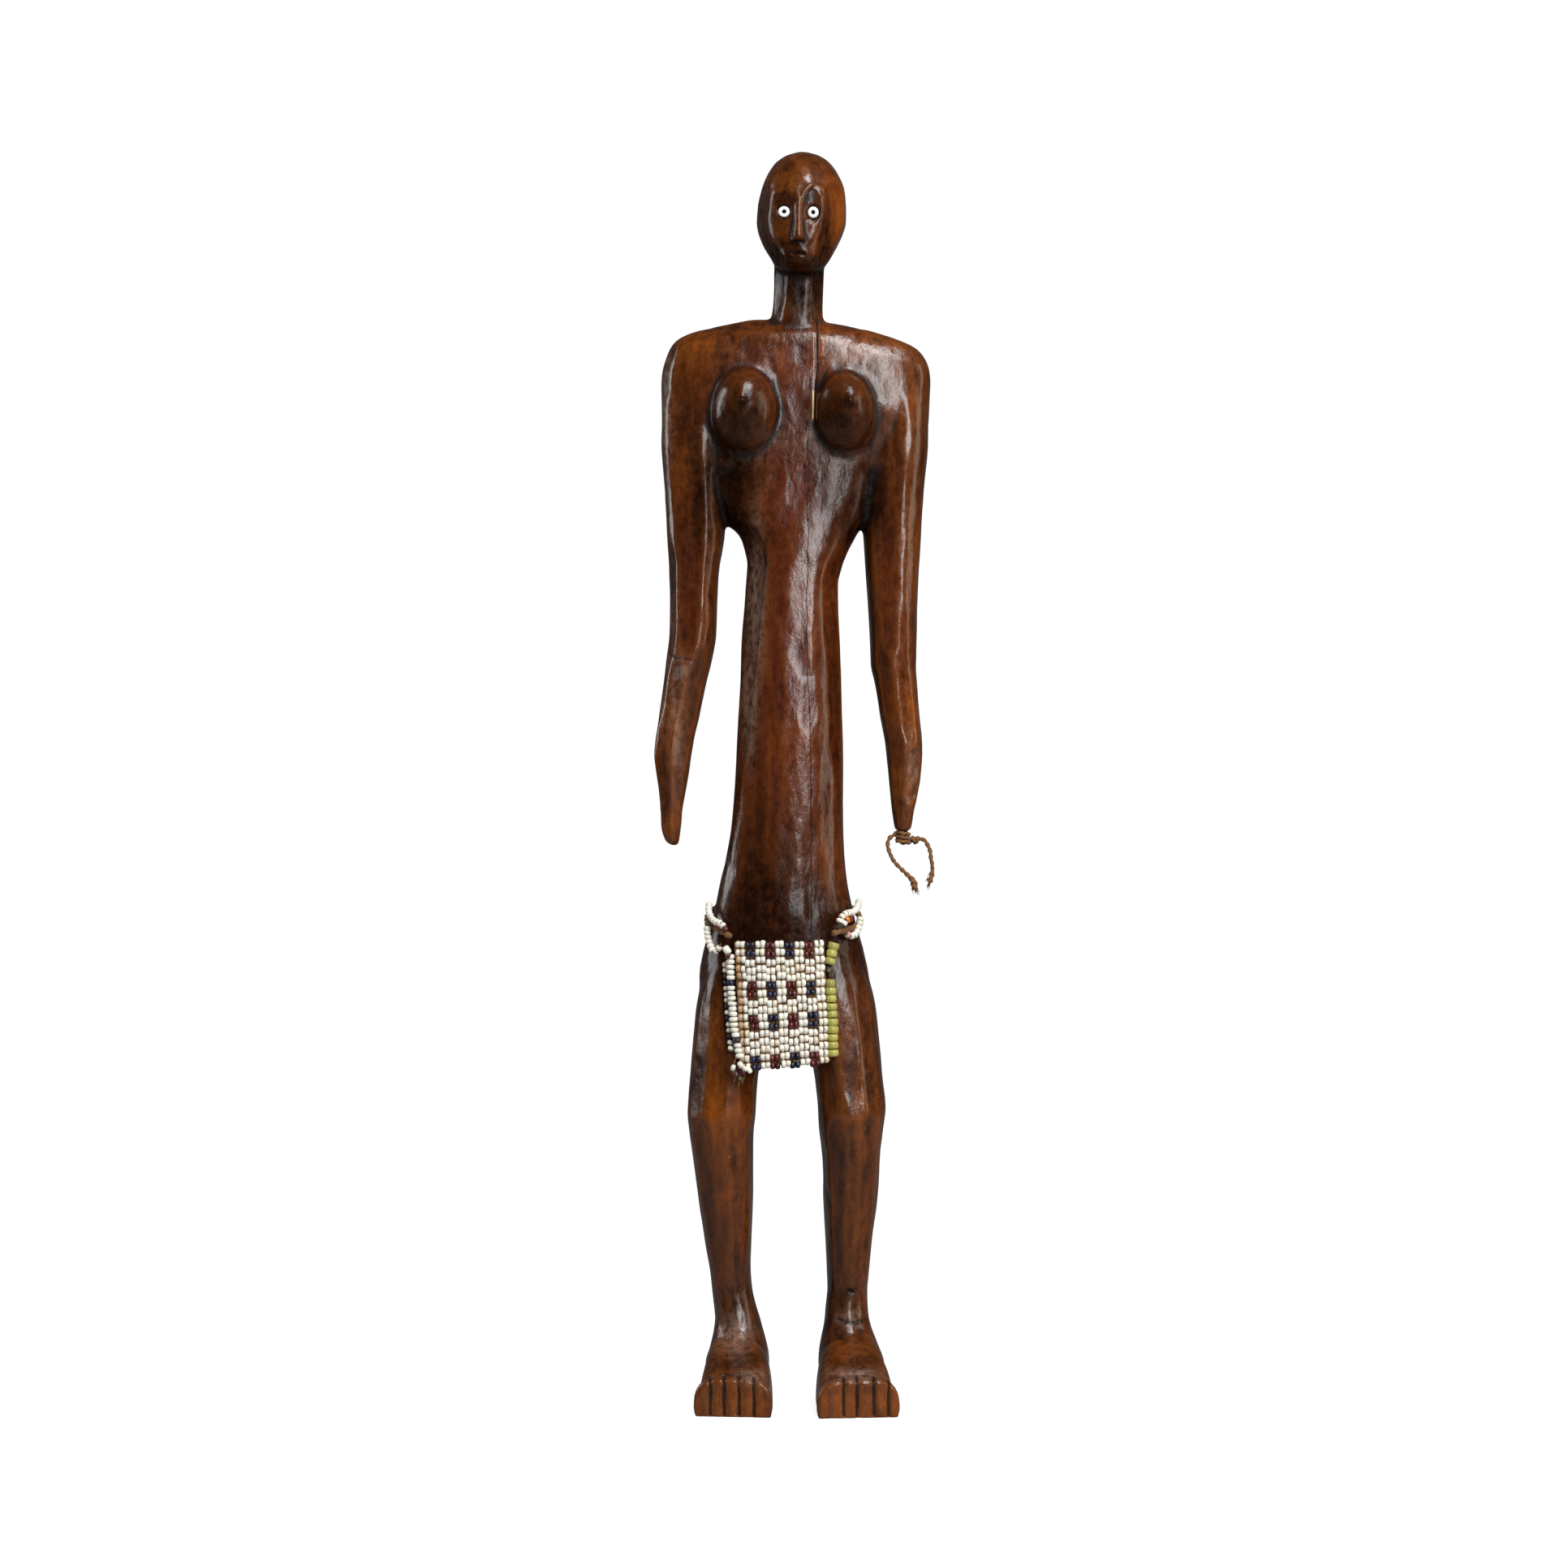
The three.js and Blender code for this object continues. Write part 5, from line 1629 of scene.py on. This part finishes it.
def beads(
    centres,
    axes,
    radius,
    length,
    tints,
    hole=HOLE_SHARE,
    uneven=0.05,
    around=BEAD_AROUND,
    profile=BEAD_PROFILE,
):
    """Shells of many beads. Round the profile angle f the distance from the axis is
    (R + h) / 2 + (R - h) / 2 sgn(cos f) |cos f|^0.8 and the way along the axis is
    L / 2 sgn(sin f) |sin f|^0.8, with R the radius, h the hole's radius and L the length.
    The hole is given as a share of the radius."""
    count = len(centres)
    axes = np.asarray(axes, float)
    axes = axes / np.linalg.norm(axes, axis=1)[:, None] + BEAD_LEAN * rng.standard_normal((count, 3))
    axes /= np.linalg.norm(axes, axis=1)[:, None]
    other = np.where(np.abs(axes[:, 2:]) < 0.8, [[0, 0, 1.0]], [[1.0, 0, 0]])
    side = np.cross(axes, other)
    side /= np.linalg.norm(side, axis=1)[:, None]
    up = np.cross(side, axes)
    shape = (count, 1, 1)
    size = np.broadcast_to(np.asarray(radius, float), count).reshape(shape)
    size = size * (1 + uneven * np.clip(rng.standard_normal(shape), -1.6, 1.6))
    span = np.broadcast_to(np.asarray(length, float), count).reshape(shape)
    span = span * (1 + uneven * np.clip(rng.standard_normal(shape), -1.6, 1.2))
    inner = size * hole
    f = (2 * np.pi * (np.arange(profile) + 0.5) / profile)[None, :, None]
    g = (2 * np.pi * np.arange(around) / around)[None, None, :]
    oval = 1 + BEAD_OVAL * np.cos(2 * g + 6 * rng.random(shape))
    out = ((size + inner) / 2 + (size - inner) / 2 * signed_power(np.cos(f), BEAD_SQUARENESS)) * oval
    along = span / 2 * signed_power(np.sin(f), BEAD_SQUARENESS) * np.ones_like(g)
    made = (
        np.asarray(centres, float)[:, None, None]
        + along[..., None] * axes[:, None, None]
        + (out * np.cos(g))[..., None] * side[:, None, None]
        + (out * np.sin(g))[..., None] * up[:, None, None]
    )
    r, c = np.meshgrid(np.arange(profile), np.arange(around), indexing="ij")
    below, right = (r + 1) % profile, (c + 1) % around
    one = np.stack([r, below, below, r], -1) * around + np.stack([c, c, right, right], -1)
    per_bead = profile * around
    faces = one.reshape(1, -1, 4) + (np.arange(count) * per_bead)[:, None, None]
    inside = np.tile(np.repeat((np.cos(f) < BORE_STARTS).ravel(), around), count)
    colours = np.repeat(np.asarray(tints, float), per_bead, axis=0)
    return made.reshape(-1, 3), faces.reshape(-1, 4), colours, inside


def bead_piece(name, sets):
    """One mesh of several sets of beads, with each bead's colour and its hole kept at its points."""
    shell_points, shell_faces, colours, inside = zip(*sets)
    piece = mesh_piece(name, *merged([(p, f.tolist()) for p, f in zip(shell_points, shell_faces)]))
    rgb = np.vstack(colours)
    tint = piece.data.attributes.new("tint", "FLOAT_COLOR", "POINT")
    tint.data.foreach_set("color", np.hstack([rgb, np.ones((len(rgb), 1))]).astype(np.float32).ravel())
    write_number(piece, "bore", np.concatenate(inside).astype(float))
    return piece


print("a bead has", BEAD_AROUND * BEAD_PROFILE, "points")

# %% Colours of the beads
IVORY = (0.90, 0.87, 0.79)
TAN = (0.58, 0.40, 0.24)
DEEP_BLUE = (0.010, 0.013, 0.042)
OXBLOOD = (0.095, 0.011, 0.014)
GREEN = (0.43, 0.42, 0.105)
OLIVE = (0.090, 0.085, 0.030)
ORANGE = (0.60, 0.20, 0.020)
PLUM = (0.110, 0.040, 0.070)
PINK = (0.55, 0.30, 0.27)
EYE_WHITE = (0.93, 0.92, 0.90)


def shade(colours, amount=0.07, warm=0.05):
    """The given colours with seeded differences in lightness and in warmth."""
    colours = np.asarray(colours, float)
    light = 1 + amount * np.clip(rng.standard_normal((len(colours), 1)), -2, 1.2)
    tilt = warm * np.abs(rng.standard_normal((len(colours), 1))) * np.array([[0.2, -0.25, -1.0]])
    return np.clip(colours * light * (1 + tilt), 0.002, 0.95)


print("bead colours ready")

# %% [markdown]
# Eye beads
#
# Two white beads are set in the face with their holes to the front. Their holes are the pupils.

# %% Eyes
eye_depth = (EYE_BEAD["front"] + EYE_BEAD["back"]) / 2
for (x, z), node in zip(EYES, ("eye_bead_left", "eye_bead_right")):
    eye_set = beads(
        [(x, eye_depth, z)],
        [(0, -1, 0)],
        EYE_BEAD["radius"],
        EYE_BEAD["length"],
        [EYE_WHITE],
        hole=EYE_BEAD["hole"],
        uneven=0,
        around=32,
        profile=12,
    )
    eye = bead_piece(node + "_glass", [eye_set])
    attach(eye, "root")
    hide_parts(node)
print("eyes at", EYES)

# %% [markdown]
# The apron
#
# Sixteen rows of beads are strung side to side, two beads to a stitch. Every second stitch hangs a
# little lower than its neighbours, which is what a thread that dips in and out does. The pattern is
# a rule: in rows 1 and 2, 6 and 7, 10 and 11, and the last two, every second stitch is dark, and
# the dark stitches take turns between blue and red.

# %% Rows of the apron
APRON_ROWS = 16
APRON_PAIRS = 9
PAIR_LENGTH = 4.19
APRON_TOP = 202.2
APRON_LEFT = -24.6
ROW_PITCH_LEFT = 3.54
ROW_PITCH_RIGHT = 3.33
APRON_LEAN = 2.6
APRON_FRONT = -18.5
APRON_MIDDLE = -5
STITCH_DROP = 0.95
SEED_RADIUS = 1.6
SEED_LENGTH = 2.08
DARK_ROWS = {0: 0, 1: 0, 5: 1, 6: 1, 9: 1, 10: 1, 14: 0, 15: 0}


def apron_y(x, z):
    """Depth of the beadwork: a shallow curve round the body that flattens towards the bottom."""
    down = (APRON_TOP - z) / (APRON_ROWS * ROW_PITCH_LEFT)
    return APRON_FRONT + (0.01 - 0.007 * down) * (x - APRON_MIDDLE) ** 2


def apron_place(across, row):
    """Middle of a bead, from its share of the way across and its row."""
    pitch = ROW_PITCH_LEFT + (ROW_PITCH_RIGHT - ROW_PITCH_LEFT) * across
    x = APRON_LEFT + across * APRON_PAIRS * PAIR_LENGTH + APRON_LEAN * row / (APRON_ROWS - 1)
    z = APRON_TOP - row * pitch
    return np.stack([x, apron_y(x, z), z], axis=-1)


print("beadwork from", round(APRON_TOP, 1), "mm down, row pitch", ROW_PITCH_LEFT, "to", ROW_PITCH_RIGHT)

# %% Places of the beads in the rows
STITCH_UNEVEN = 0.16
PLACE_UNEVEN = 0.07

row, bead = np.meshgrid(np.arange(APRON_ROWS), np.arange(2 * APRON_PAIRS), indexing="ij")
row, bead = row.ravel(), bead.ravel()
pair = bead // 2
within = np.where(bead % 2 == 0, -0.5, 0.5) * SEED_LENGTH
across = (pair + 0.5) / APRON_PAIRS + within / (APRON_PAIRS * PAIR_LENGTH)
centres = apron_place(across, row.astype(float))
sag = STITCH_DROP * (pair % 2) * (1 - 0.25 * np.cos(row * 1.3))
stitch_move = STITCH_UNEVEN * rng.standard_normal((APRON_ROWS, APRON_PAIRS, 3))[row, pair]
centres += stitch_move * [1, 0.8, 1] + PLACE_UNEVEN * rng.standard_normal(centres.shape)
centres[:, 2] -= sag
follow_curve = 0.02 * (centres[:, 0] - APRON_MIDDLE)
lean = 0.05 * rng.standard_normal(len(row))
row_axes = np.stack([np.ones(len(row)), follow_curve, lean], axis=-1)
print(len(row), "beads in", APRON_ROWS, "rows")

# %% Colours of the beads in the rows
FIRST_BEAD_BACK = 0.5
STAINED_SHARE = 0.12

phase = np.array([DARK_ROWS.get(int(r), -1) for r in row])
is_dark = (phase >= 0) & (pair % 2 == 1)
is_blue = is_dark & (((pair // 2) + phase) % 2 == 0)
colours = np.tile(IVORY, (len(row), 1))
colours[is_dark] = OXBLOOD
colours[is_blue] = DEEP_BLUE
first = bead == 0
colours[first & (row > 1)] = TAN
centres[first, 1] += FIRST_BEAD_BACK
tint = shade(colours)
tint[is_dark] = shade(colours[is_dark], 0.35, 0.2)
stained = rng.random(len(row)) < STAINED_SHARE
tint[stained & ~is_dark] *= [0.93, 0.84, 0.70]
rows_set = beads(centres, row_axes, SEED_RADIUS, SEED_LENGTH, tint)
print("dark beads in the rows:", int(is_dark.sum()))

# %% [markdown]
# The thread that holds the rows is brown with age. It shows in the gaps, so it is there: a thick
# strand behind the beads between every two rows, and thinner ones up and down beside every bead.

# %% Threads of the apron
THREAD_RADIUS = 0.42
THREAD_PITCH = 2.5
THREAD_AROUND = 8
BACKWARD = np.array([0, 1.0, 0])
LEVEL_POINTS = 40
UPRIGHT_POINTS = 48

threads = []
for r in range(1, APRON_ROWS):
    level = apron_place(np.linspace(0.0, 1.0, LEVEL_POINTS), r - 0.5)
    level[:, 1] += 0.95
    wave = np.cos(np.linspace(0, APRON_PAIRS * 2 * np.pi, LEVEL_POINTS) + np.pi)
    level[:, 2] -= 0.4 + 0.45 * STITCH_DROP * wave
    threads.append(rolled(level, UPWARD, 2.3 * THREAD_RADIUS, THREAD_PITCH, THREAD_AROUND))
for k in range(2 * APRON_PAIRS + 1):
    across = np.full(UPRIGHT_POINTS, k / (2 * APRON_PAIRS))
    upright = apron_place(across, np.linspace(-0.2, APRON_ROWS - 0.9, UPRIGHT_POINTS))
    upright[:, 1] += 0.5
    threads.append(rolled(upright, BACKWARD, 1.3 * THREAD_RADIUS, THREAD_PITCH, THREAD_AROUND))
apron_thread = cord_piece("apron_thread", threads)
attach(apron_thread, "root")
apron_thread.data.materials.append(fibre)

apron = bead_piece("apron_beads", [rows_set])
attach(apron, "root")
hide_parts("apron_panel")
print("threads", len(threads))

# %% [markdown]
# Beads along the edges
#
# Down the left edge runs a column of white beads threaded the other way, with their rims to the
# front, and behind it a second one is half turned away. Down the right edge runs a column of larger
# yellow-green beads. Three of these sit apart at the top, above a gap with one small olive bead.

# %% Left edge of the apron
WHITE_COUNT = 20
WHITE_RADIUS, WHITE_LENGTH = 1.86, 2.06
WHITE_BLUES = (5, 16)
BEHIND_COUNT = 15
BEHIND_RADIUS, BEHIND_LENGTH = 1.5, 2.0
BEHIND_BLUES = (2, 3, 7, 9, 12)


def edge_places(x, z, out):
    """Places one above the other, a distance behind the face of the beadwork."""
    return np.stack([x, apron_y(x, z) + out, z], axis=-1)


def with_blues(count, blues):
    """Colours of a column: ivory, but deep blue at the given numbers."""
    return [DEEP_BLUE if k in blues else IVORY for k in range(count)]


white_z = np.linspace(196.6, 154.0, WHITE_COUNT)
white_x = np.interp(white_z, [153.6, 166, 182, 196.8], [-22.6, -25.1, -26.5, -26.9])
white_set = beads(
    edge_places(white_x, white_z, -0.15),
    np.tile(UPWARD, (WHITE_COUNT, 1)),
    WHITE_RADIUS,
    WHITE_LENGTH,
    shade(with_blues(WHITE_COUNT, WHITE_BLUES), 0.05),
)
behind_z = np.linspace(193, 157, BEHIND_COUNT)
behind_x = np.interp(behind_z, [157, 175, 193], [-26.6, -27.9, -28.9])
behind_set = beads(
    edge_places(behind_x, behind_z, 2.2),
    np.tile([0.1, 0.35, 1.0], (BEHIND_COUNT, 1)),
    BEHIND_RADIUS,
    BEHIND_LENGTH,
    shade(with_blues(BEHIND_COUNT, BEHIND_BLUES), 0.1),
)
corner_set = beads(
    [(-28.3, -17.6, 199.6), (-27.6, -17.8, 197.2)],
    [(0.9, 0, 0.5), (0.9, 0, -0.3)],
    [1.95, 1.4],
    [2.9, 1.9],
    shade([IVORY, OXBLOOD]),
)
white_edge = bead_piece("apron_white_beads", [white_set, behind_set, corner_set])
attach(white_edge, "root")
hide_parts("apron_white_edge")
print("left edge:", WHITE_COUNT, "beads in front and", BEHIND_COUNT, "behind")

# %% Right edge of the apron
GREEN_COUNT = 10
GREEN_RADIUS, GREEN_LENGTH = 2.5, 3.3
GREEN_TOP = [(17.6, 201.1), (16.8, 197.9), (16.2, 194.6)]
GREEN_TOP_AXES = [(0.3, 0, 1), (0.2, 0.1, 1), (0.25, 0.2, 1)]

green_z = np.linspace(185.2, 155.2, GREEN_COUNT)
green_x = np.interp(green_z, [155, 170, 185], [17.4, 17.1, 16.3])
green_x = np.concatenate([[x for x, z in GREEN_TOP], green_x])
green_z = np.concatenate([[z for x, z in GREEN_TOP], green_z])
green_axes = np.vstack([GREEN_TOP_AXES, np.tile(UPWARD, (GREEN_COUNT, 1))])
green_set = beads(
    edge_places(green_x, green_z, -0.1),
    green_axes,
    GREEN_RADIUS,
    GREEN_LENGTH,
    shade(np.tile(GREEN, (len(green_z), 1)), 0.1, 0.08),
    hole=0.28,
    around=16,
    profile=8,
)
olive_set = beads([(15.6, -15.2, 190.6)], [(0.4, 0, 1)], 1.3, 1.7, [OLIVE])
green_edge = bead_piece("apron_green_beads", [green_set, olive_set])
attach(green_edge, "root")
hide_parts("apron_green_edge")
print("right edge:", len(green_z), "green beads")

# %% [markdown]
# Loose ends
#
# At the lower left corner the thread has given way and a few beads hang on what is left of it.

# %% Beads on the loose threads
LOOSE = [
    (-22.4, -19.2, 150.2, 1.65, IVORY, (1, 0, 0.4)),
    (-25.6, -18.7, 148.9, 1.5, IVORY, (1, 0, -0.3)),
    (-20.4, -19.4, 148.6, 1.5, IVORY, (0.3, 0, 1)),
    (-18.6, -19.3, 147.9, 1.5, IVORY, (0.9, 0, 0.5)),
    (-21.2, -19.4, 147, 1.4, OXBLOOD, (1, 0, 0.2)),
    (-24.3, -18.9, 146.2, 1.4, PLUM, (0.8, 0, 0.5)),
    (-22.6, -19.2, 144.2, 1.35, OLIVE, (1, 0, 0.1)),
]
LENGTH_PER_RADIUS = 1.35

xs, ys, zs, radii, bead_colours, bead_axes = zip(*LOOSE)
loose_set = beads(
    np.stack([xs, ys, zs], axis=-1),
    bead_axes,
    radii,
    [radius * LENGTH_PER_RADIUS for radius in radii],
    shade(bead_colours),
)
loose = bead_piece("loose_beads", [loose_set])
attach(loose, "root")
print("loose beads", len(LOOSE))

# %% Loose threads
LOOSE_THREADS = [
    [
        (-21.5, -18.2, 153),
        (-22.3, -18.8, 150),
        (-21.4, -19, 147),
        (-22.7, -18.8, 144),
        (-23.4, -18.4, 141.2),
    ],
    [(-24.5, -18, 153), (-25.4, -18.2, 149), (-24.6, -18.5, 146), (-25.2, -18, 142.8)],
    [(-19.8, -18.4, 151.5), (-20.3, -18.9, 148.6), (-21, -18.6, 144.6), (-21.8, -18.3, 142)],
]
STRING_RADIUS = 0.4

threads = []
for route in LOOSE_THREADS:
    line = smooth_line(route, 0.35)
    threads.append(rolled(line, (0.05, 1.0, 0), STRING_RADIUS, THREAD_PITCH, THREAD_AROUND))
loose_thread = cord_piece("loose_thread", threads)
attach(loose_thread, "root")
loose_thread.data.materials.append(fibre)
print("loose threads", len(LOOSE_THREADS))

# %% [markdown]
# The waist cord
#
# The cord starts at one upper corner of the apron, runs round the hips and comes back to the other
# corner, a little higher behind. It keeps the same distance from the body all the way, so its line
# is found from the torso's own cuts.

# %% Line of the waist cord
CORD_RADIUS = 1.4
CORD_STANDOFF = 2.1
CORD_FRONT_HEIGHT = 206.5
CORD_RISE = 17
CORD_ENDS = [(-27, -13.2, 205.4), (17.2, -13.2, 206.6)]
CORD_LEAVES_BODY = (3.7, 5.5)
WAIST_PITCH = 9
WAIST_AROUND = 16
WAIST_ROUGHNESS = 0.04


def hip_points(angle):
    """Points round the hips: the torso's cut at each height, grown by the standoff. The height is
    the front height plus the rise times ((1 + sin a) / 2)^1.4."""
    back = (1 + np.sin(angle)) / 2
    height = CORD_FRONT_HEIGHT + CORD_RISE * back**1.4
    _, x, half, front, rear, power = smooth_rows(TORSO, height).T
    cos, sin = np.cos(angle), np.sin(angle)
    px = x + (half + CORD_STANDOFF) * signed_power(cos, 2 / power)
    py = (front + rear) / 2 + ((rear - front) / 2 + CORD_STANDOFF) * signed_power(sin, 2 / power)
    return np.stack([px, py, height], axis=-1)


left_angle, right_angle = CORD_LEAVES_BODY
round_hips = hip_points(np.linspace(left_angle, right_angle - 2 * np.pi, 23))
waist_line = smooth_line(np.vstack([CORD_ENDS[:1], round_hips, CORD_ENDS[1:]]), 0.6)
waist_cord = cord_piece(
    "waist_cord_fibre",
    [rolled(waist_line, UPWARD, CORD_RADIUS, WAIST_PITCH, WAIST_AROUND, WAIST_ROUGHNESS)],
)
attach(waist_cord, "root")
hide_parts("waist_cord")
waist_cord.data.materials.append(fibre)
print("waist cord is", round(line_length(waist_line), 1), "mm long")

# %% [markdown]
# Beads wound on the waist cord
#
# At each hip a strand of beads comes round from behind, lies slantwise over the cord and ends above
# the apron's corner. A second one hangs below the cord in a small loop, and the right hip has a
# short third one. Their lines are given as they are seen from the front, with a distance out from
# the body, and the depth is found from the torso's own cut at that height. The beads are threaded
# on those lines one after the other. With each line goes a list of the beads that aren't ivory,
# counted from its start or back from its end.

# %% Wound strands
WOUND_LEFT = [
    ([(-36, 219.4, 3.4), (-36.4, 217.6, 3.8), (-36.2, 215.4, 4.2), (-35.1, 213, 4.6), (-33.2, 211.5, 4.8),
      (-31.3, 210.9, 4.8), (-29.8, 209.4, 4.6), (-28.3, 206.6, 4.2)], {-1: OXBLOOD}),
    ([(-36.6, 211.6, 4.4), (-37.1, 208, 4), (-36.6, 204.6, 3.4), (-35.7, 201.4, 3), (-34.3, 198.8, 2.8),
      (-32.4, 199.4, 2.8), (-31, 202, 3)], {0: OLIVE}),
]
WOUND_RIGHT = [
    ([(28.8, 220, 3.4), (28.5, 218.6, 3.8), (27.4, 216.6, 4.2), (25.5, 215.5, 4.6), (23.3, 215.2, 4.8),
      (21.2, 213.6, 4.8), (19.8, 210.6, 4.4)], {}),
    ([(25.6, 212.9, 4.8), (23.4, 212.3, 5), (21.8, 210.2, 4.8)], {0: OXBLOOD, 1: ORANGE}),
    ([(29.6, 213.4, 4.4), (29.2, 210.6, 4), (28.3, 207.8, 3.6), (26.7, 205.6, 3.2), (24.5, 205.5, 3),
      (22.4, 206.9, 3)], {-1: PINK}),
]
WOUND_RADIUS = 1.55
WOUND_LENGTH = 2.05
WOUND_GAP = 0.04


def on_hips(places):
    """Points in front of the hips from (x, z, distance out). On the torso's cut at height z, grown
    by the distance, y = middle - depth (1 - |dx / half|^p)^(1 / p)."""
    x, z, out = np.array(places, float).T
    _, middle, half, front, rear, power = smooth_rows(TORSO, z).T
    inside = np.clip(1 - (np.abs(x - middle) / (half + out)) ** power, 0, 1)
    y = (front + rear) / 2 - ((rear - front) / 2 + out) * inside ** (1 / power)
    return np.stack([x, y, z], axis=1)


print(len(WOUND_LEFT), "strands on the left hip and", len(WOUND_RIGHT), "on the right one")

# %% Thread the beads on the strands
for strands, node in [(WOUND_LEFT, "waist_beads_left"), (WOUND_RIGHT, "waist_beads_right")]:
    bead_sets, strings = [], []
    for route, odd in strands:
        line = smooth_line(on_hips(route), 0.25)
        step = steps_along(line)
        places = np.arange(WOUND_LENGTH / 2, step[-1] - WOUND_LENGTH / 4, WOUND_LENGTH + WOUND_GAP)
        centres = at_places(places, step, line)
        bead_axes = at_places(places, step, np.gradient(line, step, axis=0))
        colours = np.tile(IVORY, (len(places), 1))
        for k, colour in odd.items():
            colours[k] = colour
        bead_sets.append(beads(centres, bead_axes, WOUND_RADIUS, WOUND_LENGTH, shade(colours)))
        strings.append(rolled(line, (0.3, 0.9, 0.3), STRING_RADIUS, THREAD_PITCH, THREAD_AROUND))
        print(node, len(places), "beads on a strand of", round(float(step[-1]), 1), "mm")
    strand = bead_piece(node + "_glass", bead_sets)
    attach(strand, "root")
    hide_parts(node)
    string = cord_piece(node + "_string", strings)
    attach(string, "root")
    string.data.materials.append(fibre)

# %% [markdown]
# The look of old glass
#
# The glass is opaque and worn. Light goes a little way into it, its polish has gone dull in spots,
# brown dust lies on it here and there, and painted shade makes the holes dark inside.

# %% Glass material
glass, tree = new_material("bead_glass")
place = add(tree, "TexCoord").outputs["Object"]
tint = add(tree, "Attribute", attribute_name="tint").outputs["Color"]
wear = noise(tree, place, (1, 1, 1), 700, 4, 0.65)
dust = noise(tree, place, (1, 1, 1), 260, 4, 0.6)
bore_shade = maths(tree, "MULTIPLY", number(tree, "bore"), 0.9)
colour = blend(tree, spread(tree, wear, 0.55, 0.75, 0.0, 0.14), tint, paint(0.42, 0.30, 0.19))
colour = blend(tree, spread(tree, dust, 0.55, 0.75, 0.0, 0.18), colour, paint(0.20, 0.125, 0.07))
# Painted shade inside the holes.
colour = blend(tree, bore_shade, colour, paint(0.018, 0.010, 0.007))
finish_material(
    tree,
    {
        "Base Color": colour,
        "Roughness": spread(tree, wear, 0.35, 0.7, 0.16, 0.42),
        "Subsurface Weight": 0.12,
        "Subsurface Radius": (0.0012, 0.0010, 0.0008),
        "Subsurface Scale": 0.5,
        "Normal": tilted(tree, wear, 0.15, 0.0001),
    },
)
for piece in bpy.context.scene.objects:
    if piece.type == "MESH" and "tint" in piece.data.attributes:
        piece.data.materials.append(glass)
print("glass has", len(tree.nodes), "nodes")

# %% [markdown]
# Light
#
# The photograph has a tall soft light above and to the right of the camera, and its lower edge is
# at the height of the belly, where the bright band stops. A second one stands higher and lights
# the forehead, the top of the chest and the feet. A panel at the far left draws grey lines on the
# flats that face it, and a weak warm light comes from the right.

# %% Lights and floor
def soft_light(name, place, target, size, size_y, power, tone=(1, 1, 1)):
    """A rectangular light at a place in metres that faces a target."""
    data = bpy.data.lights.new(name, "AREA")
    data.shape = "RECTANGLE"
    data.size = size
    data.size_y = size_y
    data.energy = power
    data.color = tone
    light = new_object(name, data)
    light.location = place
    look = Vector(target) - Vector(place)
    light.rotation_euler = look.to_track_quat("-Z", "Y").to_euler()


soft_light("key", (0.50, -1.40, 1.08), (0, 0, 1.08), 0.34, 1.50, 24)
soft_light("high_key", (0.40, -0.74, 1.62), (0.02, 0, 0.46), 0.45, 0.45, 12)
soft_light("left_panel", (-1.28, 0.31, 0.77), (0, 0, 0.77), 0.36, 0.96, 6.5)
soft_light("right_warm", (1.1, -0.35, 0.6), (0, 0, 0.3), 0.3, 1.0, 3.5, (1.0, 0.86, 0.7))
print("four soft lights placed")

# %% [markdown]
# The floor is a pale sheet that runs level and then curves up behind the figure, so no line shows
# where it ends. It glows a little towards the camera alone. In the polish of the wood it stays
# dim, as it does in a studio where the sheet is small and the room behind it is dark.

# %% Sweep
SWEEP_START = -2600
SWEEP_TURN = 1500
SWEEP_RADIUS = 900
SWEEP_TOP = 3600
SWEEP_SIDE = 3500

bend = np.linspace(0, np.pi / 2, 24)
sweep_back = SWEEP_TURN + SWEEP_RADIUS
depth = np.concatenate([[SWEEP_START], SWEEP_TURN + SWEEP_RADIUS * np.sin(bend), [sweep_back]])
height = np.concatenate([[0], SWEEP_RADIUS * (1 - np.cos(bend)), [SWEEP_TOP]])
sides = np.array([-SWEEP_SIDE, SWEEP_SIDE], float)
sheet = np.stack(np.broadcast_arrays(sides[None, :], depth[:, None], height[:, None]), axis=-1)
floor = mesh_piece("floor", sheet.reshape(-1, 3), grid_faces(len(depth), 2, False))
pale, tree = new_material("pale_floor")
to_camera = add(tree, "LightPath").outputs["Is Camera Ray"]
finish_material(
    tree,
    {
        "Base Color": paint(0.30, 0.30, 0.30),
        "Roughness": 0.7,
        "Specular IOR Level": 0.1,
        "Emission Color": paint(1, 1, 1),
        "Emission Strength": maths(tree, "MULTIPLY", to_camera, 0.93),
    },
)
floor.data.materials.append(pale)
print("floor runs back to", sweep_back, "mm")

# %% Faint light all round
world = bpy.data.worlds.new("studio")
bpy.context.scene.world = world
world.use_nodes = True
sky = world.node_tree.nodes["Background"]
sky.inputs["Color"].default_value = paint(1, 0.98, 0.95)
sky.inputs["Strength"].default_value = 0.05
bpy.context.scene.view_settings.view_transform = "Standard"
print("world light", sky.inputs["Strength"].default_value)
